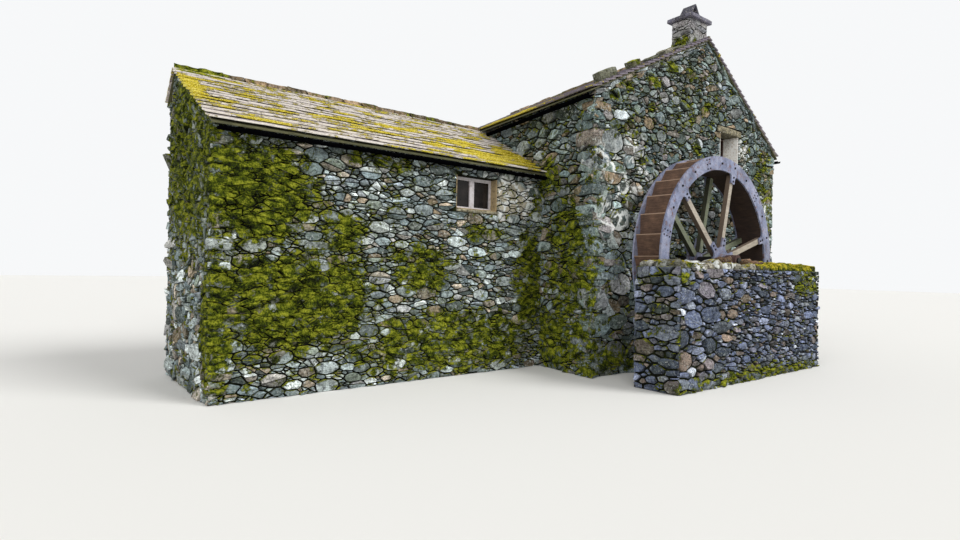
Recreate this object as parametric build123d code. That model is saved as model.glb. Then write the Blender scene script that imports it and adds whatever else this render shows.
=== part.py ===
"""A small stone watermill: a gabled mill house with its wheel on the gable, and a lower wing.

Millimetres, +Z up. The model is laid out from the mill house's near left corner, with X along the
wheel gable, Y running back into the house and Z = 0 at the lowest footing. It is then moved so that
the origin lies at the middle of the underside of the whole building.
"""
from math import asin, atan2, cos, degrees, radians, sin, tan
import os

from build123d import *

# mill house
MILL_WIDTH = 6460.0
MILL_LENGTH = 7200.0
SKEW_DEG = 8.1               # the side walls run this much out of square with the gable
WALL = 560.0
RIDGE_X = 3465.0
RIDGE_TOP = 6700.0
LEFT_EAVES_TOP = 4930.0
RIGHT_EAVES_TOP = 4660.0
EAVES_OVERHANG = 150.0
VERGE_OVERHANG = 60.0
ROOF_DEPTH = 75.0            # slates and their bedding, measured straight down
RIDGE_STONE_LENGTH = 520.0
RIDGE_STONE_REACH = 170.0    # how far a ridge stone laps down each slope
RIDGE_STONE_DEPTH = 75.0
STONE_JOINT = 4.0

# wing
WING_LENGTH = 5700.0
WING_FRONT_Y = 1430.0
WING_RIDGE_Y = 3614.0
WING_BACK_Y = 4050.0
WING_WALL = 480.0
WING_EAVES_TOP = 3680.0
WING_RIDGE_TOP = 4890.0
WING_BACK_EAVES_TOP = 4440.0
WING_EAVES_OVERHANG = 150.0
WING_BACK_OVERHANG = 60.0

# waterwheel
WHEEL_X = 2683.0
WHEEL_Z = 2061.0
WHEEL_RADIUS = 1950.0
WHEEL_BREADTH = 571.0
WHEEL_WALL_GAP = 285.0
SHROUD_DEPTH = 253.0
SHROUD_THICK = 30.0
SPOKES = 6
SPOKE_PHASE_DEG = 16.3
SPOKE_WIDTH = 105.0
SPOKE_THICK = 90.0
STUB_LENGTH = 165.0
STUB_WIDTH = 125.0
STUB_FILLET = 80.0
SEGMENT_JOINT = 3.0
BUCKETS = 32
SOLE_THICK = 25.0
BUCKET_BOARD = 22.0
BUCKET_ELBOW_SHARE = 0.42    # how far out of the shroud's depth the elbow stands
BUCKET_LIP_INSET = 12.0
BUCKET_REACH_SHARE = 1.06    # how far round the outer board reaches, in bucket pitches
SHAFT_TAIL = 110.0           # how far the shaft runs on past the inner bearing
ROSE_RADIUS = 255.0
ROSE_REACH = 440.0
ROSE_ARM_WIDTH = 125.0
ROSE_FILLET = 90.0
BOSS_RADIUS = 165.0
BOSS_LENGTH = 150.0
SHAFT_RADIUS = 85.0
JOURNAL_RADIUS = 60.0
RUNNING_CLEARANCE = 0.3

# wheel pit
PIT_CLEARANCE = 64.0         # between the wheel and the pit wall
PIT_WALL_THICK = 760.0
PIT_WALL_BATTER = 60.0
PIT_WALL_TOP = 1900.0
PIT_LEFT_X = 15.0
PIT_LENGTH = 4945.0
COPING_HEIGHT = 120.0
COPING_STONE = 540.0
COPING_OVERHANG = 15.0
RETURN_WALL_THICK = 480.0
RETURN_WALL_CLEARANCE = 110.0
RETURN_WALL_LAP = 217.0      # how much of the pit wall's length stands in front of it

# bearings
BEARING_WIDTH = 360.0
BEARING_LENGTH = 220.0
BEARING_BASE = 45.0
BEARING_SHELL = 48.0
BEARING_HEIGHT = 215.0       # from the seat to the shaft's centre
BEARING_SEAT_GAP = 40.0
SHAFT_OPENING_WIDTH = 460.0
SHAFT_OPENING_HEAD = 200.0   # from the shaft's centre up
INNER_BEARING_INSET = 190.0

# openings in the walls
GABLE_WINDOW_X = 4080.0
GABLE_WINDOW_WIDTH = 760.0
GABLE_WINDOW_SILL = 3950.0
GABLE_WINDOW_HEAD = 4850.0
GABLE_WINDOW_INSET = 330.0
LINTEL_HEIGHT = 140.0
LINTEL_BEARING = 110.0
LINTEL_DEPTH = 300.0
LINTEL_PROUD = 25.0
WING_WINDOW_X = -1835.0
WING_WINDOW_WIDTH = 900.0
WING_WINDOW_SILL = 2850.0
WING_WINDOW_HEAD = 3420.0
WING_WINDOW_INSET = 150.0
FRAME_FACE = 55.0
FRAME_DEPTH = 60.0
MULLION_FACE = 100.0
GLASS_THICK = 6.0
SILL_HEIGHT = 60.0
SILL_PROUD = 40.0
DOOR_Y = 4300.0
DOOR_WIDTH = 950.0
DOOR_HEAD = 2120.0
DOOR_THICK = 45.0
DOOR_INSET = 260.0
GROUND_FLOOR_THICK = 150.0   # flags on the ground, level with the door's threshold
LOFT_FLOOR_TOP = 3050.0
LOFT_FLOOR_THICK = 120.0
WING_FLOOR_TOP = 1950.0
WING_FLOOR_THICK = 120.0

# chimney
STACK_SETBACK = 180.0        # from the gable's face
STACK_WIDTH = 600.0
STACK_DEPTH = 430.0
STACK_RISE = 410.0           # from the ridge's top to the cap
STACK_ROOT = 800.0           # how far below the ridge's top the stack is built into the gable
FLUE_WIDTH = 230.0
CAP_OVERHANG = 80.0
CAP_THICK = 80.0
UPPER_CAP_INSET = 170.0
UPPER_CAP_THICK = 50.0
HOOD_SLATE = 25.0
HOOD_HALF_WIDTH = 175.0
HOOD_HEIGHT = 260.0
HOOD_LENGTH = 300.0

# gutters
GUTTER_RADIUS = 55.0
GUTTER_SKIN = 4.0
GUTTER_DROP = 6.0
BRACKET_WIDTH = 30.0
BRACKET_THICK = 8.0
BRACKET_SPACING = 1100.0
GUTTER_ROOF_CLEARANCE = 8.0
MILL_GUTTER_DROP = 45.0
GUTTER_FALL_DEG = 0.9        # the mill house's gutters fall towards the back
BRACKET_GAP = 0.3

SKEW = radians(SKEW_DEG)
SLANT = tan(SKEW)
WALL_X = WALL / cos(SKEW)
LEFT_EAVES_X = -EAVES_OVERHANG
RIGHT_EAVES_X = MILL_WIDTH + EAVES_OVERHANG
LEFT_RISE = (RIDGE_TOP - LEFT_EAVES_TOP) / (RIDGE_X - LEFT_EAVES_X)
RIGHT_RISE = (RIDGE_TOP - RIGHT_EAVES_TOP) / (RIGHT_EAVES_X - RIDGE_X)
WING_FRONT_EAVES_Y = WING_FRONT_Y - WING_EAVES_OVERHANG
WING_BACK_EAVES_Y = WING_BACK_Y + WING_BACK_OVERHANG
WING_FRONT_RISE = (WING_RIDGE_TOP - WING_EAVES_TOP) / (WING_RIDGE_Y - WING_FRONT_EAVES_Y)
WING_BACK_RISE = (WING_RIDGE_TOP - WING_BACK_EAVES_TOP) / (WING_BACK_EAVES_Y - WING_RIDGE_Y)
WHEEL_BACK_Y = -WHEEL_WALL_GAP
WHEEL_FRONT_Y = WHEEL_BACK_Y - WHEEL_BREADTH
PIT_INNER_Y = WHEEL_FRONT_Y - PIT_CLEARANCE
PIT_OUTER_Y = PIT_INNER_Y - PIT_WALL_THICK
SHROUD_INNER = WHEEL_RADIUS - SHROUD_DEPTH
STACK_X = RIDGE_X - STACK_WIDTH / 2
STACK_TOP = RIDGE_TOP + STACK_RISE
STACK_FOOT = RIDGE_TOP - STACK_ROOT
STACK_BACK = STACK_SETBACK + STACK_DEPTH
CAP_TOP = STACK_TOP + CAP_THICK + UPPER_CAP_THICK
FAR = 20000.0


def side_x(y, x=0.0):
    """X of a line parallel to the mill's side walls that stands at x on the gable's face."""
    return x + SLANT * y


def mill_prism(points, y0, y1):
    """An X-Z outline given on the gable's face, carried back along the side walls from y0 to y1."""
    at = [Vector(side_x(y0, x), y0, z) for x, z in points]
    face = make_face(Polyline(*at, close=True))
    return extrude(face, amount=(y1 - y0) / cos(SKEW), dir=(sin(SKEW), cos(SKEW), 0))


def cross_prism(points, y0, y1):
    """An X-Z outline extruded square to the gable."""
    face = make_face(Polyline(*[Vector(x, y0, z) for x, z in points], close=True))
    return extrude(face, amount=y1 - y0, dir=(0, 1, 0))


def wing_prism(points, x0, x1):
    """A Y-Z outline extruded along the wing."""
    face = make_face(Polyline(*[Vector(x0, y, z) for y, z in points], close=True))
    return extrude(face, amount=x1 - x0, dir=(1, 0, 0))


def block(x0, x1, y0, y1, z0, z1):
    """A rectangular block between two corners."""
    middle = ((x0 + x1) / 2, (y0 + y1) / 2, (z0 + z1) / 2)
    return Pos(*middle) * Box(x1 - x0, y1 - y0, z1 - z0)


def mill_roof_top(x):
    """Height of the slates over the mill house at x on the gable's face."""
    if x <= RIDGE_X:
        return RIDGE_TOP - LEFT_RISE * (RIDGE_X - x)
    return RIDGE_TOP - RIGHT_RISE * (x - RIDGE_X)


def wing_roof_top(y):
    """Height of the slates over the wing at y."""
    if y <= WING_RIDGE_Y:
        return WING_RIDGE_TOP - WING_FRONT_RISE * (WING_RIDGE_Y - y)
    return WING_RIDGE_TOP - WING_BACK_RISE * (y - WING_RIDGE_Y)


def under(height):
    return height - ROOF_DEPTH


def mill_envelope():
    """Everything inside the outer faces of the mill house's walls."""
    outline = [(0, 0), (0, under(mill_roof_top(0))), (RIDGE_X, under(RIDGE_TOP)),
               (MILL_WIDTH, under(mill_roof_top(MILL_WIDTH))), (MILL_WIDTH, 0)]
    return mill_prism(outline, 0, MILL_LENGTH)


def gable_outline():
    return [(0, 0), (0, under(mill_roof_top(0))), (RIDGE_X, under(RIDGE_TOP)),
            (MILL_WIDTH, under(mill_roof_top(MILL_WIDTH))), (MILL_WIDTH, 0)]


def stack_block():
    return block(STACK_X, STACK_X + STACK_WIDTH, STACK_SETBACK, STACK_BACK, STACK_FOOT, STACK_TOP)


def flue():
    middle_y = STACK_SETBACK + STACK_DEPTH / 2
    return block(RIDGE_X - FLUE_WIDTH / 2, RIDGE_X + FLUE_WIDTH / 2, middle_y - FLUE_WIDTH / 2,
                 middle_y + FLUE_WIDTH / 2, STACK_FOOT - 1, CAP_TOP + 1)


def chimney_stack():
    return stack_block() - flue()


def shaft_opening():
    """The way through the gable for the wheel's shaft, with the inner bearing's seat at its foot."""
    half = SHAFT_OPENING_WIDTH / 2
    return block(WHEEL_X - half, WHEEL_X + half, -WALL, 2 * WALL,
                 WHEEL_Z - BEARING_HEIGHT, WHEEL_Z + SHAFT_OPENING_HEAD)


def lintel(x, width, head, face_y=0.0):
    """A stone lintel over an opening in a wall that faces -Y."""
    return block(x - LINTEL_BEARING, x + width + LINTEL_BEARING, face_y - LINTEL_PROUD,
                 face_y + LINTEL_DEPTH, head, head + LINTEL_HEIGHT)


def wheel_gable_wall():
    wall = mill_prism(gable_outline(), 0, WALL)
    window = block(GABLE_WINDOW_X, GABLE_WINDOW_X + GABLE_WINDOW_WIDTH, -WALL, 2 * WALL,
                   GABLE_WINDOW_SILL, GABLE_WINDOW_HEAD)
    return wall - window - shaft_opening() - stack_block() - gable_window_lintel()


def gable_window_lintel():
    return lintel(GABLE_WINDOW_X, GABLE_WINDOW_WIDTH, GABLE_WINDOW_HEAD)


def rear_window_lintel():
    return mill_rear_turn(lintel(0, GABLE_WINDOW_WIDTH, GABLE_WINDOW_HEAD))


def mill_rear_turn(piece):
    """Carries a piece laid out on the wheel gable, from x = 0 there, to the rear gable's window."""
    left = side_x(MILL_LENGTH, (MILL_WIDTH + GABLE_WINDOW_WIDTH) / 2)
    return Pos(left, MILL_LENGTH, 0) * Rot(0, 0, 180) * piece


def rear_gable_wall():
    wall = mill_prism(gable_outline(), MILL_LENGTH - WALL, MILL_LENGTH)
    window = mill_rear_turn(block(0, GABLE_WINDOW_WIDTH, -WALL, 2 * WALL,
                                  GABLE_WINDOW_SILL, GABLE_WINDOW_HEAD))
    return wall - window - rear_window_lintel()


def side_wall_outline(x0, x1):
    return [(x0, 0), (x0, under(mill_roof_top(x0))), (x1, under(mill_roof_top(x1))), (x1, 0)]


def left_side_wall():
    return mill_prism(side_wall_outline(0, WALL_X), WALL, MILL_LENGTH - WALL)


def doorway(x0, x1):
    """The doorway's space between two X planes, following the skewed wall."""
    foot = GROUND_FLOOR_THICK
    outline = [(x0, foot), (x0, DOOR_HEAD), (x1, DOOR_HEAD), (x1, foot)]
    return mill_prism(outline, DOOR_Y, DOOR_Y + DOOR_WIDTH)


def door_lintel():
    x1 = MILL_WIDTH + LINTEL_PROUD
    outline = [(x1 - LINTEL_DEPTH, DOOR_HEAD), (x1 - LINTEL_DEPTH, DOOR_HEAD + LINTEL_HEIGHT),
               (x1, DOOR_HEAD + LINTEL_HEIGHT), (x1, DOOR_HEAD)]
    return mill_prism(outline, DOOR_Y - LINTEL_BEARING, DOOR_Y + DOOR_WIDTH + LINTEL_BEARING)


def right_side_wall():
    wall = mill_prism(side_wall_outline(MILL_WIDTH - WALL_X, MILL_WIDTH), WALL, MILL_LENGTH - WALL)
    return wall - doorway(MILL_WIDTH - 2 * WALL, MILL_WIDTH + WALL) - door_lintel()


def plank_door():
    x1 = MILL_WIDTH - DOOR_INSET
    return doorway(x1 - DOOR_THICK, x1)


def mill_floor(top, thick):
    """A floor between the mill house's walls."""
    x0, x1 = WALL_X, MILL_WIDTH - WALL_X
    outline = [(x0, top - thick), (x0, top), (x1, top), (x1, top - thick)]
    return mill_prism(outline, WALL, MILL_LENGTH - WALL)


def wing_floor():
    section = [(WING_FRONT_Y + WING_WALL, WING_FLOOR_TOP - WING_FLOOR_THICK),
               (WING_FRONT_Y + WING_WALL, WING_FLOOR_TOP),
               (WING_BACK_Y - WING_WALL, WING_FLOOR_TOP),
               (WING_BACK_Y - WING_WALL, WING_FLOOR_TOP - WING_FLOOR_THICK)]
    return wing_prism(section, -WING_LENGTH + WING_WALL, MILL_WIDTH / 2) - mill_envelope()


def slope_slab(x0, x1):
    """The slates of one slope of the mill house, between two lines on the gable's face."""
    outline = [(x0, mill_roof_top(x0)), (x1, mill_roof_top(x1)), (x1, under(mill_roof_top(x1))),
               (x0, under(mill_roof_top(x0)))]
    return mill_prism(outline, -VERGE_OVERHANG, MILL_LENGTH + VERGE_OVERHANG) - stack_block()


def mill_ridge_stones():
    """Angular stones bedded over the ridge, behind the chimney."""
    def outline(reach, rise):
        x0, x1 = RIDGE_X - reach, RIDGE_X + reach
        return [(x0, mill_roof_top(x0)), (RIDGE_X, RIDGE_TOP), (x1, mill_roof_top(x1)),
                (x1, mill_roof_top(x1) + rise), (RIDGE_X, RIDGE_TOP + rise),
                (x0, mill_roof_top(x0) + rise)]
    start = STACK_BACK + STONE_JOINT
    end = MILL_LENGTH + VERGE_OVERHANG
    count = round((end - start) / RIDGE_STONE_LENGTH)
    pitch = (end - start) / count
    shape = outline(RIDGE_STONE_REACH, RIDGE_STONE_DEPTH)
    return Compound([mill_prism(shape, start + n * pitch, start + (n + 1) * pitch - STONE_JOINT)
                     for n in range(count)])


def wing_section():
    return [(WING_FRONT_Y, 0), (WING_FRONT_Y, under(wing_roof_top(WING_FRONT_Y))),
            (WING_RIDGE_Y, under(WING_RIDGE_TOP)),
            (WING_BACK_Y, under(wing_roof_top(WING_BACK_Y))), (WING_BACK_Y, 0)]


def wing_end_wall():
    return wing_prism(wing_section(), -WING_LENGTH, -WING_LENGTH + WING_WALL)


def wing_window_space():
    return block(WING_WINDOW_X, WING_WINDOW_X + WING_WINDOW_WIDTH, WING_FRONT_Y - WING_WALL,
                 WING_FRONT_Y + 2 * WING_WALL, WING_WINDOW_SILL, WING_WINDOW_HEAD)


def wing_front_wall():
    y1 = WING_FRONT_Y + WING_WALL
    outline = [(WING_FRONT_Y, 0), (WING_FRONT_Y, under(wing_roof_top(WING_FRONT_Y))),
               (y1, under(wing_roof_top(y1))), (y1, 0)]
    wall = wing_prism(outline, -WING_LENGTH + WING_WALL, MILL_WIDTH / 2)
    return wall - wing_window_space() - wing_window_sill() - mill_envelope()


def wing_window_sill():
    return block(WING_WINDOW_X, WING_WINDOW_X + WING_WINDOW_WIDTH, WING_FRONT_Y - SILL_PROUD,
                 WING_FRONT_Y + WING_WINDOW_INSET, WING_WINDOW_SILL - SILL_HEIGHT,
                 WING_WINDOW_SILL)


def wing_back_wall():
    y0 = WING_BACK_Y - WING_WALL
    points = [(y0, 0), (y0, under(wing_roof_top(y0))), (WING_RIDGE_Y, under(WING_RIDGE_TOP)),
              (WING_BACK_Y, under(wing_roof_top(WING_BACK_Y))), (WING_BACK_Y, 0)]
    return wing_prism(points, -WING_LENGTH + WING_WALL, MILL_WIDTH / 2) - mill_envelope()


def wing_slope(y0, y1):
    outline = [(y0, wing_roof_top(y0)), (y1, wing_roof_top(y1)), (y1, under(wing_roof_top(y1))),
               (y0, under(wing_roof_top(y0)))]
    slab = wing_prism(outline, -WING_LENGTH - VERGE_OVERHANG, MILL_WIDTH / 2)
    return slab - mill_envelope() - mill_left_roof()


def mill_left_roof():
    return slope_slab(LEFT_EAVES_X, RIDGE_X)


def mill_right_roof():
    return slope_slab(RIDGE_X, RIGHT_EAVES_X)


def wing_ridge_stones():
    reach = RIDGE_STONE_REACH
    y0, y1 = WING_RIDGE_Y - reach, WING_RIDGE_Y + reach
    section = [(y0, wing_roof_top(y0)), (WING_RIDGE_Y, WING_RIDGE_TOP), (y1, wing_roof_top(y1)),
               (y1, wing_roof_top(y1) + RIDGE_STONE_DEPTH),
               (WING_RIDGE_Y, WING_RIDGE_TOP + RIDGE_STONE_DEPTH),
               (y0, wing_roof_top(y0) + RIDGE_STONE_DEPTH)]
    start = -WING_LENGTH - VERGE_OVERHANG
    end = side_x(y0, LEFT_EAVES_X) - STONE_JOINT
    count = round((end - start) / RIDGE_STONE_LENGTH)
    pitch = (end - start) / count
    return Compound([wing_prism(section, start + n * pitch, start + (n + 1) * pitch - STONE_JOINT)
                     for n in range(count)])


def cap_layer(overhang, z0, z1):
    return block(STACK_X - overhang, STACK_X + STACK_WIDTH + overhang, STACK_SETBACK - overhang,
                 STACK_BACK + overhang, z0, z1)


def chimney_cap():
    """The cap's overhanging slab with a smaller slab bedded on it, open over the flue."""
    lower_top = STACK_TOP + CAP_THICK
    lower = cap_layer(CAP_OVERHANG, STACK_TOP, lower_top)
    upper = cap_layer(CAP_OVERHANG - UPPER_CAP_INSET, lower_top, CAP_TOP)
    return lower + upper - flue()


def chimney_hood():
    """Two slates leaned together over the flue, each resting on the cap beside it."""
    spread = HOOD_SLATE / sin(atan2(HOOD_HEIGHT, HOOD_HALF_WIDTH))
    left = [(RIDGE_X - HOOD_HALF_WIDTH, CAP_TOP), (RIDGE_X, CAP_TOP + HOOD_HEIGHT),
            (RIDGE_X, CAP_TOP + HOOD_HEIGHT - spread * HOOD_HEIGHT / HOOD_HALF_WIDTH),
            (RIDGE_X - HOOD_HALF_WIDTH + spread, CAP_TOP)]
    right = [(2 * RIDGE_X - x, z) for x, z in left]
    middle_y = STACK_SETBACK + STACK_DEPTH / 2
    y0, y1 = middle_y - HOOD_LENGTH / 2, middle_y + HOOD_LENGTH / 2
    return Compound([cross_prism(left, y0, y1), cross_prism(right, y0, y1)])


def window_frame(x0, width, z0, z1, y0, mullion):
    """A timber frame that fills an opening, with a mullion down its middle if asked."""
    frame = block(x0, x0 + width, y0, y0 + FRAME_DEPTH, z0, z1)
    inner0, inner1 = x0 + FRAME_FACE, x0 + width - FRAME_FACE
    lights = [(inner0, inner1)]
    if mullion:
        centre = x0 + width / 2
        lights = [(inner0, centre - MULLION_FACE / 2), (centre + MULLION_FACE / 2, inner1)]
    for a, b in lights:
        frame -= block(a, b, y0 - 1, y0 + FRAME_DEPTH + 1, z0 + FRAME_FACE, z1 - FRAME_FACE)
    return frame


def window_glass(x0, width, z0, z1, y0, mullion):
    """Panes that stand inside the frame's lights, in the middle of its depth."""
    y = y0 + (FRAME_DEPTH - GLASS_THICK) / 2
    inner0, inner1 = x0 + FRAME_FACE, x0 + width - FRAME_FACE
    lights = [(inner0, inner1)]
    if mullion:
        centre = x0 + width / 2
        lights = [(inner0, centre - MULLION_FACE / 2), (centre + MULLION_FACE / 2, inner1)]
    return [block(a, b, y, y + GLASS_THICK, z0 + FRAME_FACE, z1 - FRAME_FACE) for a, b in lights]


def gutter_length(x0, x1, bottom_radius=GUTTER_RADIUS):
    """A half-round gutter along X with its rim at z = 0 and its middle at y = 0."""
    outer = Pos((x0 + x1) / 2, 0, 0) * Rot(0, 90, 0) * Cylinder(bottom_radius, x1 - x0)
    inner = Pos((x0 + x1) / 2, 0, 0) * Rot(0, 90, 0) * Cylinder(bottom_radius - GUTTER_SKIN,
                                                              x1 - x0 + 2)
    above = block(x0 - 1, x1 + 1, -2 * bottom_radius, 2 * bottom_radius, 0, 2 * bottom_radius)
    return outer - inner - above


def gutter(length, to_wall):
    """A gutter from x = 0 to length, with brackets that reach to_wall behind its middle."""
    count = max(2, round(length / BRACKET_SPACING))
    pitch = length / count
    arms = [block(x - BRACKET_WIDTH / 2, x + BRACKET_WIDTH / 2, GUTTER_RADIUS + BRACKET_GAP,
                  to_wall, -BRACKET_THICK * 2, -BRACKET_THICK)
            for x in (pitch * (n + 0.5) for n in range(count))]
    return [gutter_length(0, length), *arms]


def wing_gutter():
    rim = under(WING_EAVES_TOP) - GUTTER_DROP - 20
    length = WING_LENGTH + side_x(WING_FRONT_EAVES_Y - 2 * GUTTER_RADIUS) - 2 * GUTTER_DROP
    placed = Pos(-WING_LENGTH + GUTTER_DROP, WING_FRONT_EAVES_Y, rim)
    return Compound([placed * piece for piece in gutter(length, WING_EAVES_OVERHANG)])


def mill_gutter(y0, y1, on_left):
    """A gutter under one of the mill house's eaves, from y0 to y1, as a trough and its brackets."""
    eaves_x, top = (LEFT_EAVES_X, LEFT_EAVES_TOP) if on_left else (RIGHT_EAVES_X, RIGHT_EAVES_TOP)
    length = (y1 - y0) / cos(SKEW)
    place = Pos(side_x(y0, eaves_x), y0, under(top) - MILL_GUTTER_DROP) * Rot(0, 0, 90 - SKEW_DEG)
    trough, *arms = gutter(length, EAVES_OVERHANG * cos(SKEW))
    fallen = [Rot(0, GUTTER_FALL_DEG, 0) * trough]
    drop = tan(radians(GUTTER_FALL_DEG))
    fallen += [Pos(0, 0, -drop * arm.center().X) * arm for arm in arms]
    if on_left:
        fallen = [mirror(piece, about=Plane.XZ) for piece in fallen]
    return [place * piece for piece in fallen]


def mill_left_gutters():
    """The gutters before and behind the wing's roof, which breaks the eaves between them."""
    foot = under(LEFT_EAVES_TOP) - MILL_GUTTER_DROP - GUTTER_RADIUS - GUTTER_ROOF_CLEARANCE
    fall = tan(radians(GUTTER_FALL_DEG)) / cos(SKEW)
    reach = (foot - WING_EAVES_TOP - fall * (WING_FRONT_EAVES_Y + VERGE_OVERHANG)) / (WING_FRONT_RISE + fall)
    meets = WING_FRONT_EAVES_Y + reach
    leaves = WING_BACK_EAVES_Y + GUTTER_RADIUS
    return Compound([*mill_gutter(-VERGE_OVERHANG, meets, True),
                     *mill_gutter(leaves, MILL_LENGTH + VERGE_OVERHANG, True)])


def mill_right_gutter():
    return Compound(mill_gutter(-VERGE_OVERHANG - GUTTER_RADIUS, MILL_LENGTH + VERGE_OVERHANG, False))


def pit_wall():
    y_top = PIT_OUTER_Y + PIT_WALL_BATTER
    section = [(PIT_INNER_Y, 0), (PIT_INNER_Y, PIT_WALL_TOP), (y_top, PIT_WALL_TOP),
               (PIT_OUTER_Y, 0)]
    return wing_prism(section, PIT_LEFT_X, PIT_LEFT_X + PIT_LENGTH) - outer_bearing_pocket()


def outer_bearing_pocket():
    half = BEARING_WIDTH / 2 + BEARING_SEAT_GAP
    return block(WHEEL_X - half, WHEEL_X + half, PIT_INNER_Y - BEARING_LENGTH - 2 * BEARING_SEAT_GAP,
                 PIT_INNER_Y + 1, WHEEL_Z - BEARING_HEIGHT, WHEEL_Z + WHEEL_RADIUS)


def pit_coping():
    """Flat stones laid along the top of the pit wall, left open at the bearing."""
    count = round(PIT_LENGTH / COPING_STONE)
    pitch = PIT_LENGTH / count
    stones = []
    for n in range(count):
        x0 = PIT_LEFT_X + n * pitch
        stone = block(x0, x0 + pitch - STONE_JOINT, PIT_OUTER_Y + PIT_WALL_BATTER - COPING_OVERHANG,
                      PIT_INNER_Y, PIT_WALL_TOP, PIT_WALL_TOP + COPING_HEIGHT)
        stones += (stone - outer_bearing_pocket()).solids()
    return Compound(stones)


def pit_return_wall():
    x0 = max(WHEEL_X + WHEEL_RADIUS + RETURN_WALL_CLEARANCE, PIT_LEFT_X + PIT_LENGTH - RETURN_WALL_LAP)
    return block(x0, x0 + RETURN_WALL_THICK, PIT_INNER_Y, 0, 0, PIT_WALL_TOP)


def bearing(y0, y1):
    """A plummer block round the shaft's journal between y0 and y1."""
    seat = WHEEL_Z - BEARING_HEIGHT
    half = BEARING_WIDTH / 2
    outer = JOURNAL_RADIUS + BEARING_SHELL
    base = block(WHEEL_X - half, WHEEL_X + half, y0, y1, seat, seat + BEARING_BASE)
    post = block(WHEEL_X - outer, WHEEL_X + outer, y0, y1, seat, WHEEL_Z)
    middle = Pos(WHEEL_X, (y0 + y1) / 2, WHEEL_Z) * Rot(90, 0, 0)
    shell = middle * Cylinder(outer, y1 - y0)
    bore = middle * Cylinder(JOURNAL_RADIUS + RUNNING_CLEARANCE, y1 - y0 + 2)
    return base + post + shell - bore


def outer_bearing():
    y1 = PIT_INNER_Y - BEARING_SEAT_GAP
    return bearing(y1 - BEARING_LENGTH, y1)


def inner_bearing():
    return bearing(INNER_BEARING_INSET, INNER_BEARING_INSET + BEARING_LENGTH)


def wheel_turn(angle_deg):
    """Turns a piece laid out along +X at the wheel's centre to an angle seen from the front."""
    return Pos(WHEEL_X, 0, WHEEL_Z) * Rot(0, -angle_deg, 0)


def disc(radius, y0, y1):
    return Pos(0, (y0 + y1) / 2, 0) * Rot(90, 0, 0) * Cylinder(radius, y1 - y0)


def spoke_angles():
    return [SPOKE_PHASE_DEG + n * 360 / SPOKES for n in range(SPOKES)]


def plate_with_fillets(sketch, radius, y0, y1, inside):
    """Extrudes a flat casting along Y and rounds its inner corners that lie within a radius band."""
    plate = extrude(sketch, amount=y1 - y0, dir=(0, 1, 0))
    low, high = inside
    corners = [e for e in plate.edges().filter_by(Axis.Y)
               if low < (e.center().X ** 2 + e.center().Z ** 2) ** 0.5 < high]
    return fillet(corners, radius)


def shroud_ring(y0, y1):
    """One side of the wheel's rim: six cast segments, each with a stub that takes a spoke."""
    ring = disc(WHEEL_RADIUS, y0, y1) - disc(SHROUD_INNER, y0 - 1, y1 + 1)
    for angle in range(SPOKES):
        reach0, reach1 = SHROUD_INNER - STUB_LENGTH, SHROUD_INNER + SHROUD_DEPTH / 2
        stub = block(reach0, reach1, y0, y1, -STUB_WIDTH / 2, STUB_WIDTH / 2)
        ring += Rot(0, -angle * 360 / SPOKES, 0) * stub
    corners = [e for e in ring.edges().filter_by(Axis.Y)
               if abs((e.center().X ** 2 + e.center().Z ** 2) ** 0.5 - SHROUD_INNER) < 5]
    ring = fillet(corners, STUB_FILLET)
    for angle in range(SPOKES):
        turn = (angle + 0.5) * 360 / SPOKES
        ring -= Rot(0, -turn, 0) * block(SHROUD_INNER - 10, WHEEL_RADIUS + 10, y0 - 1, y1 + 1,
                                         -SEGMENT_JOINT / 2, SEGMENT_JOINT / 2)
    return wheel_turn(SPOKE_PHASE_DEG) * ring


def hub_rose(y0, y1, boss_y0, boss_y1):
    """A cast hub: a boss on the shaft and a flat rose with an arm for each spoke."""
    rose = disc(ROSE_RADIUS, y0, y1)
    for n in range(SPOKES):
        arm = block(0, ROSE_REACH, y0, y1, -ROSE_ARM_WIDTH / 2, ROSE_ARM_WIDTH / 2)
        rose += Rot(0, -n * 360 / SPOKES, 0) * arm
    corners = [e for e in rose.edges().filter_by(Axis.Y)
               if abs((e.center().X ** 2 + e.center().Z ** 2) ** 0.5 - ROSE_RADIUS) < 5]
    rose = fillet(corners, ROSE_FILLET)
    rose += disc(BOSS_RADIUS, boss_y0, boss_y1)
    rose -= disc(SHAFT_RADIUS, boss_y0 - 1, boss_y1 + 1)
    return wheel_turn(SPOKE_PHASE_DEG) * rose


def spoke_set(y0, y1):
    inner = BOSS_RADIUS + 5
    outer = SHROUD_INNER - 6
    return Compound([wheel_turn(a) * block(inner, outer, y0, y1, -SPOKE_WIDTH / 2, SPOKE_WIDTH / 2)
                     for a in spoke_angles()])


def polygon_ring(inner_flat, outer_flat, sides, y0, y1):
    """A ring of flat boards, one for each bucket."""
    def rim(flat):
        radius = flat / cos(radians(180 / sides))
        turns = [radians((n + 0.5) * 360 / sides) for n in range(sides)]
        return [Vector(radius * cos(t), y0, radius * sin(t)) for t in turns]
    outer = make_face(Polyline(*rim(outer_flat), close=True))
    inner = make_face(Polyline(*rim(inner_flat), close=True))
    amount = y1 - y0
    return (extrude(outer, amount=amount, dir=(0, 1, 0))
            - extrude(inner, amount=amount, dir=(0, 1, 0)))


def sole_boards(y0, y1):
    flat = SHROUD_INNER / 1.0
    ring = polygon_ring(flat, flat + SOLE_THICK, BUCKETS, y0, y1)
    return wheel_turn(SPOKE_PHASE_DEG) * ring


def polar(radius, angle_deg):
    return (radius * cos(radians(angle_deg)), radius * sin(radians(angle_deg)))


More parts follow.
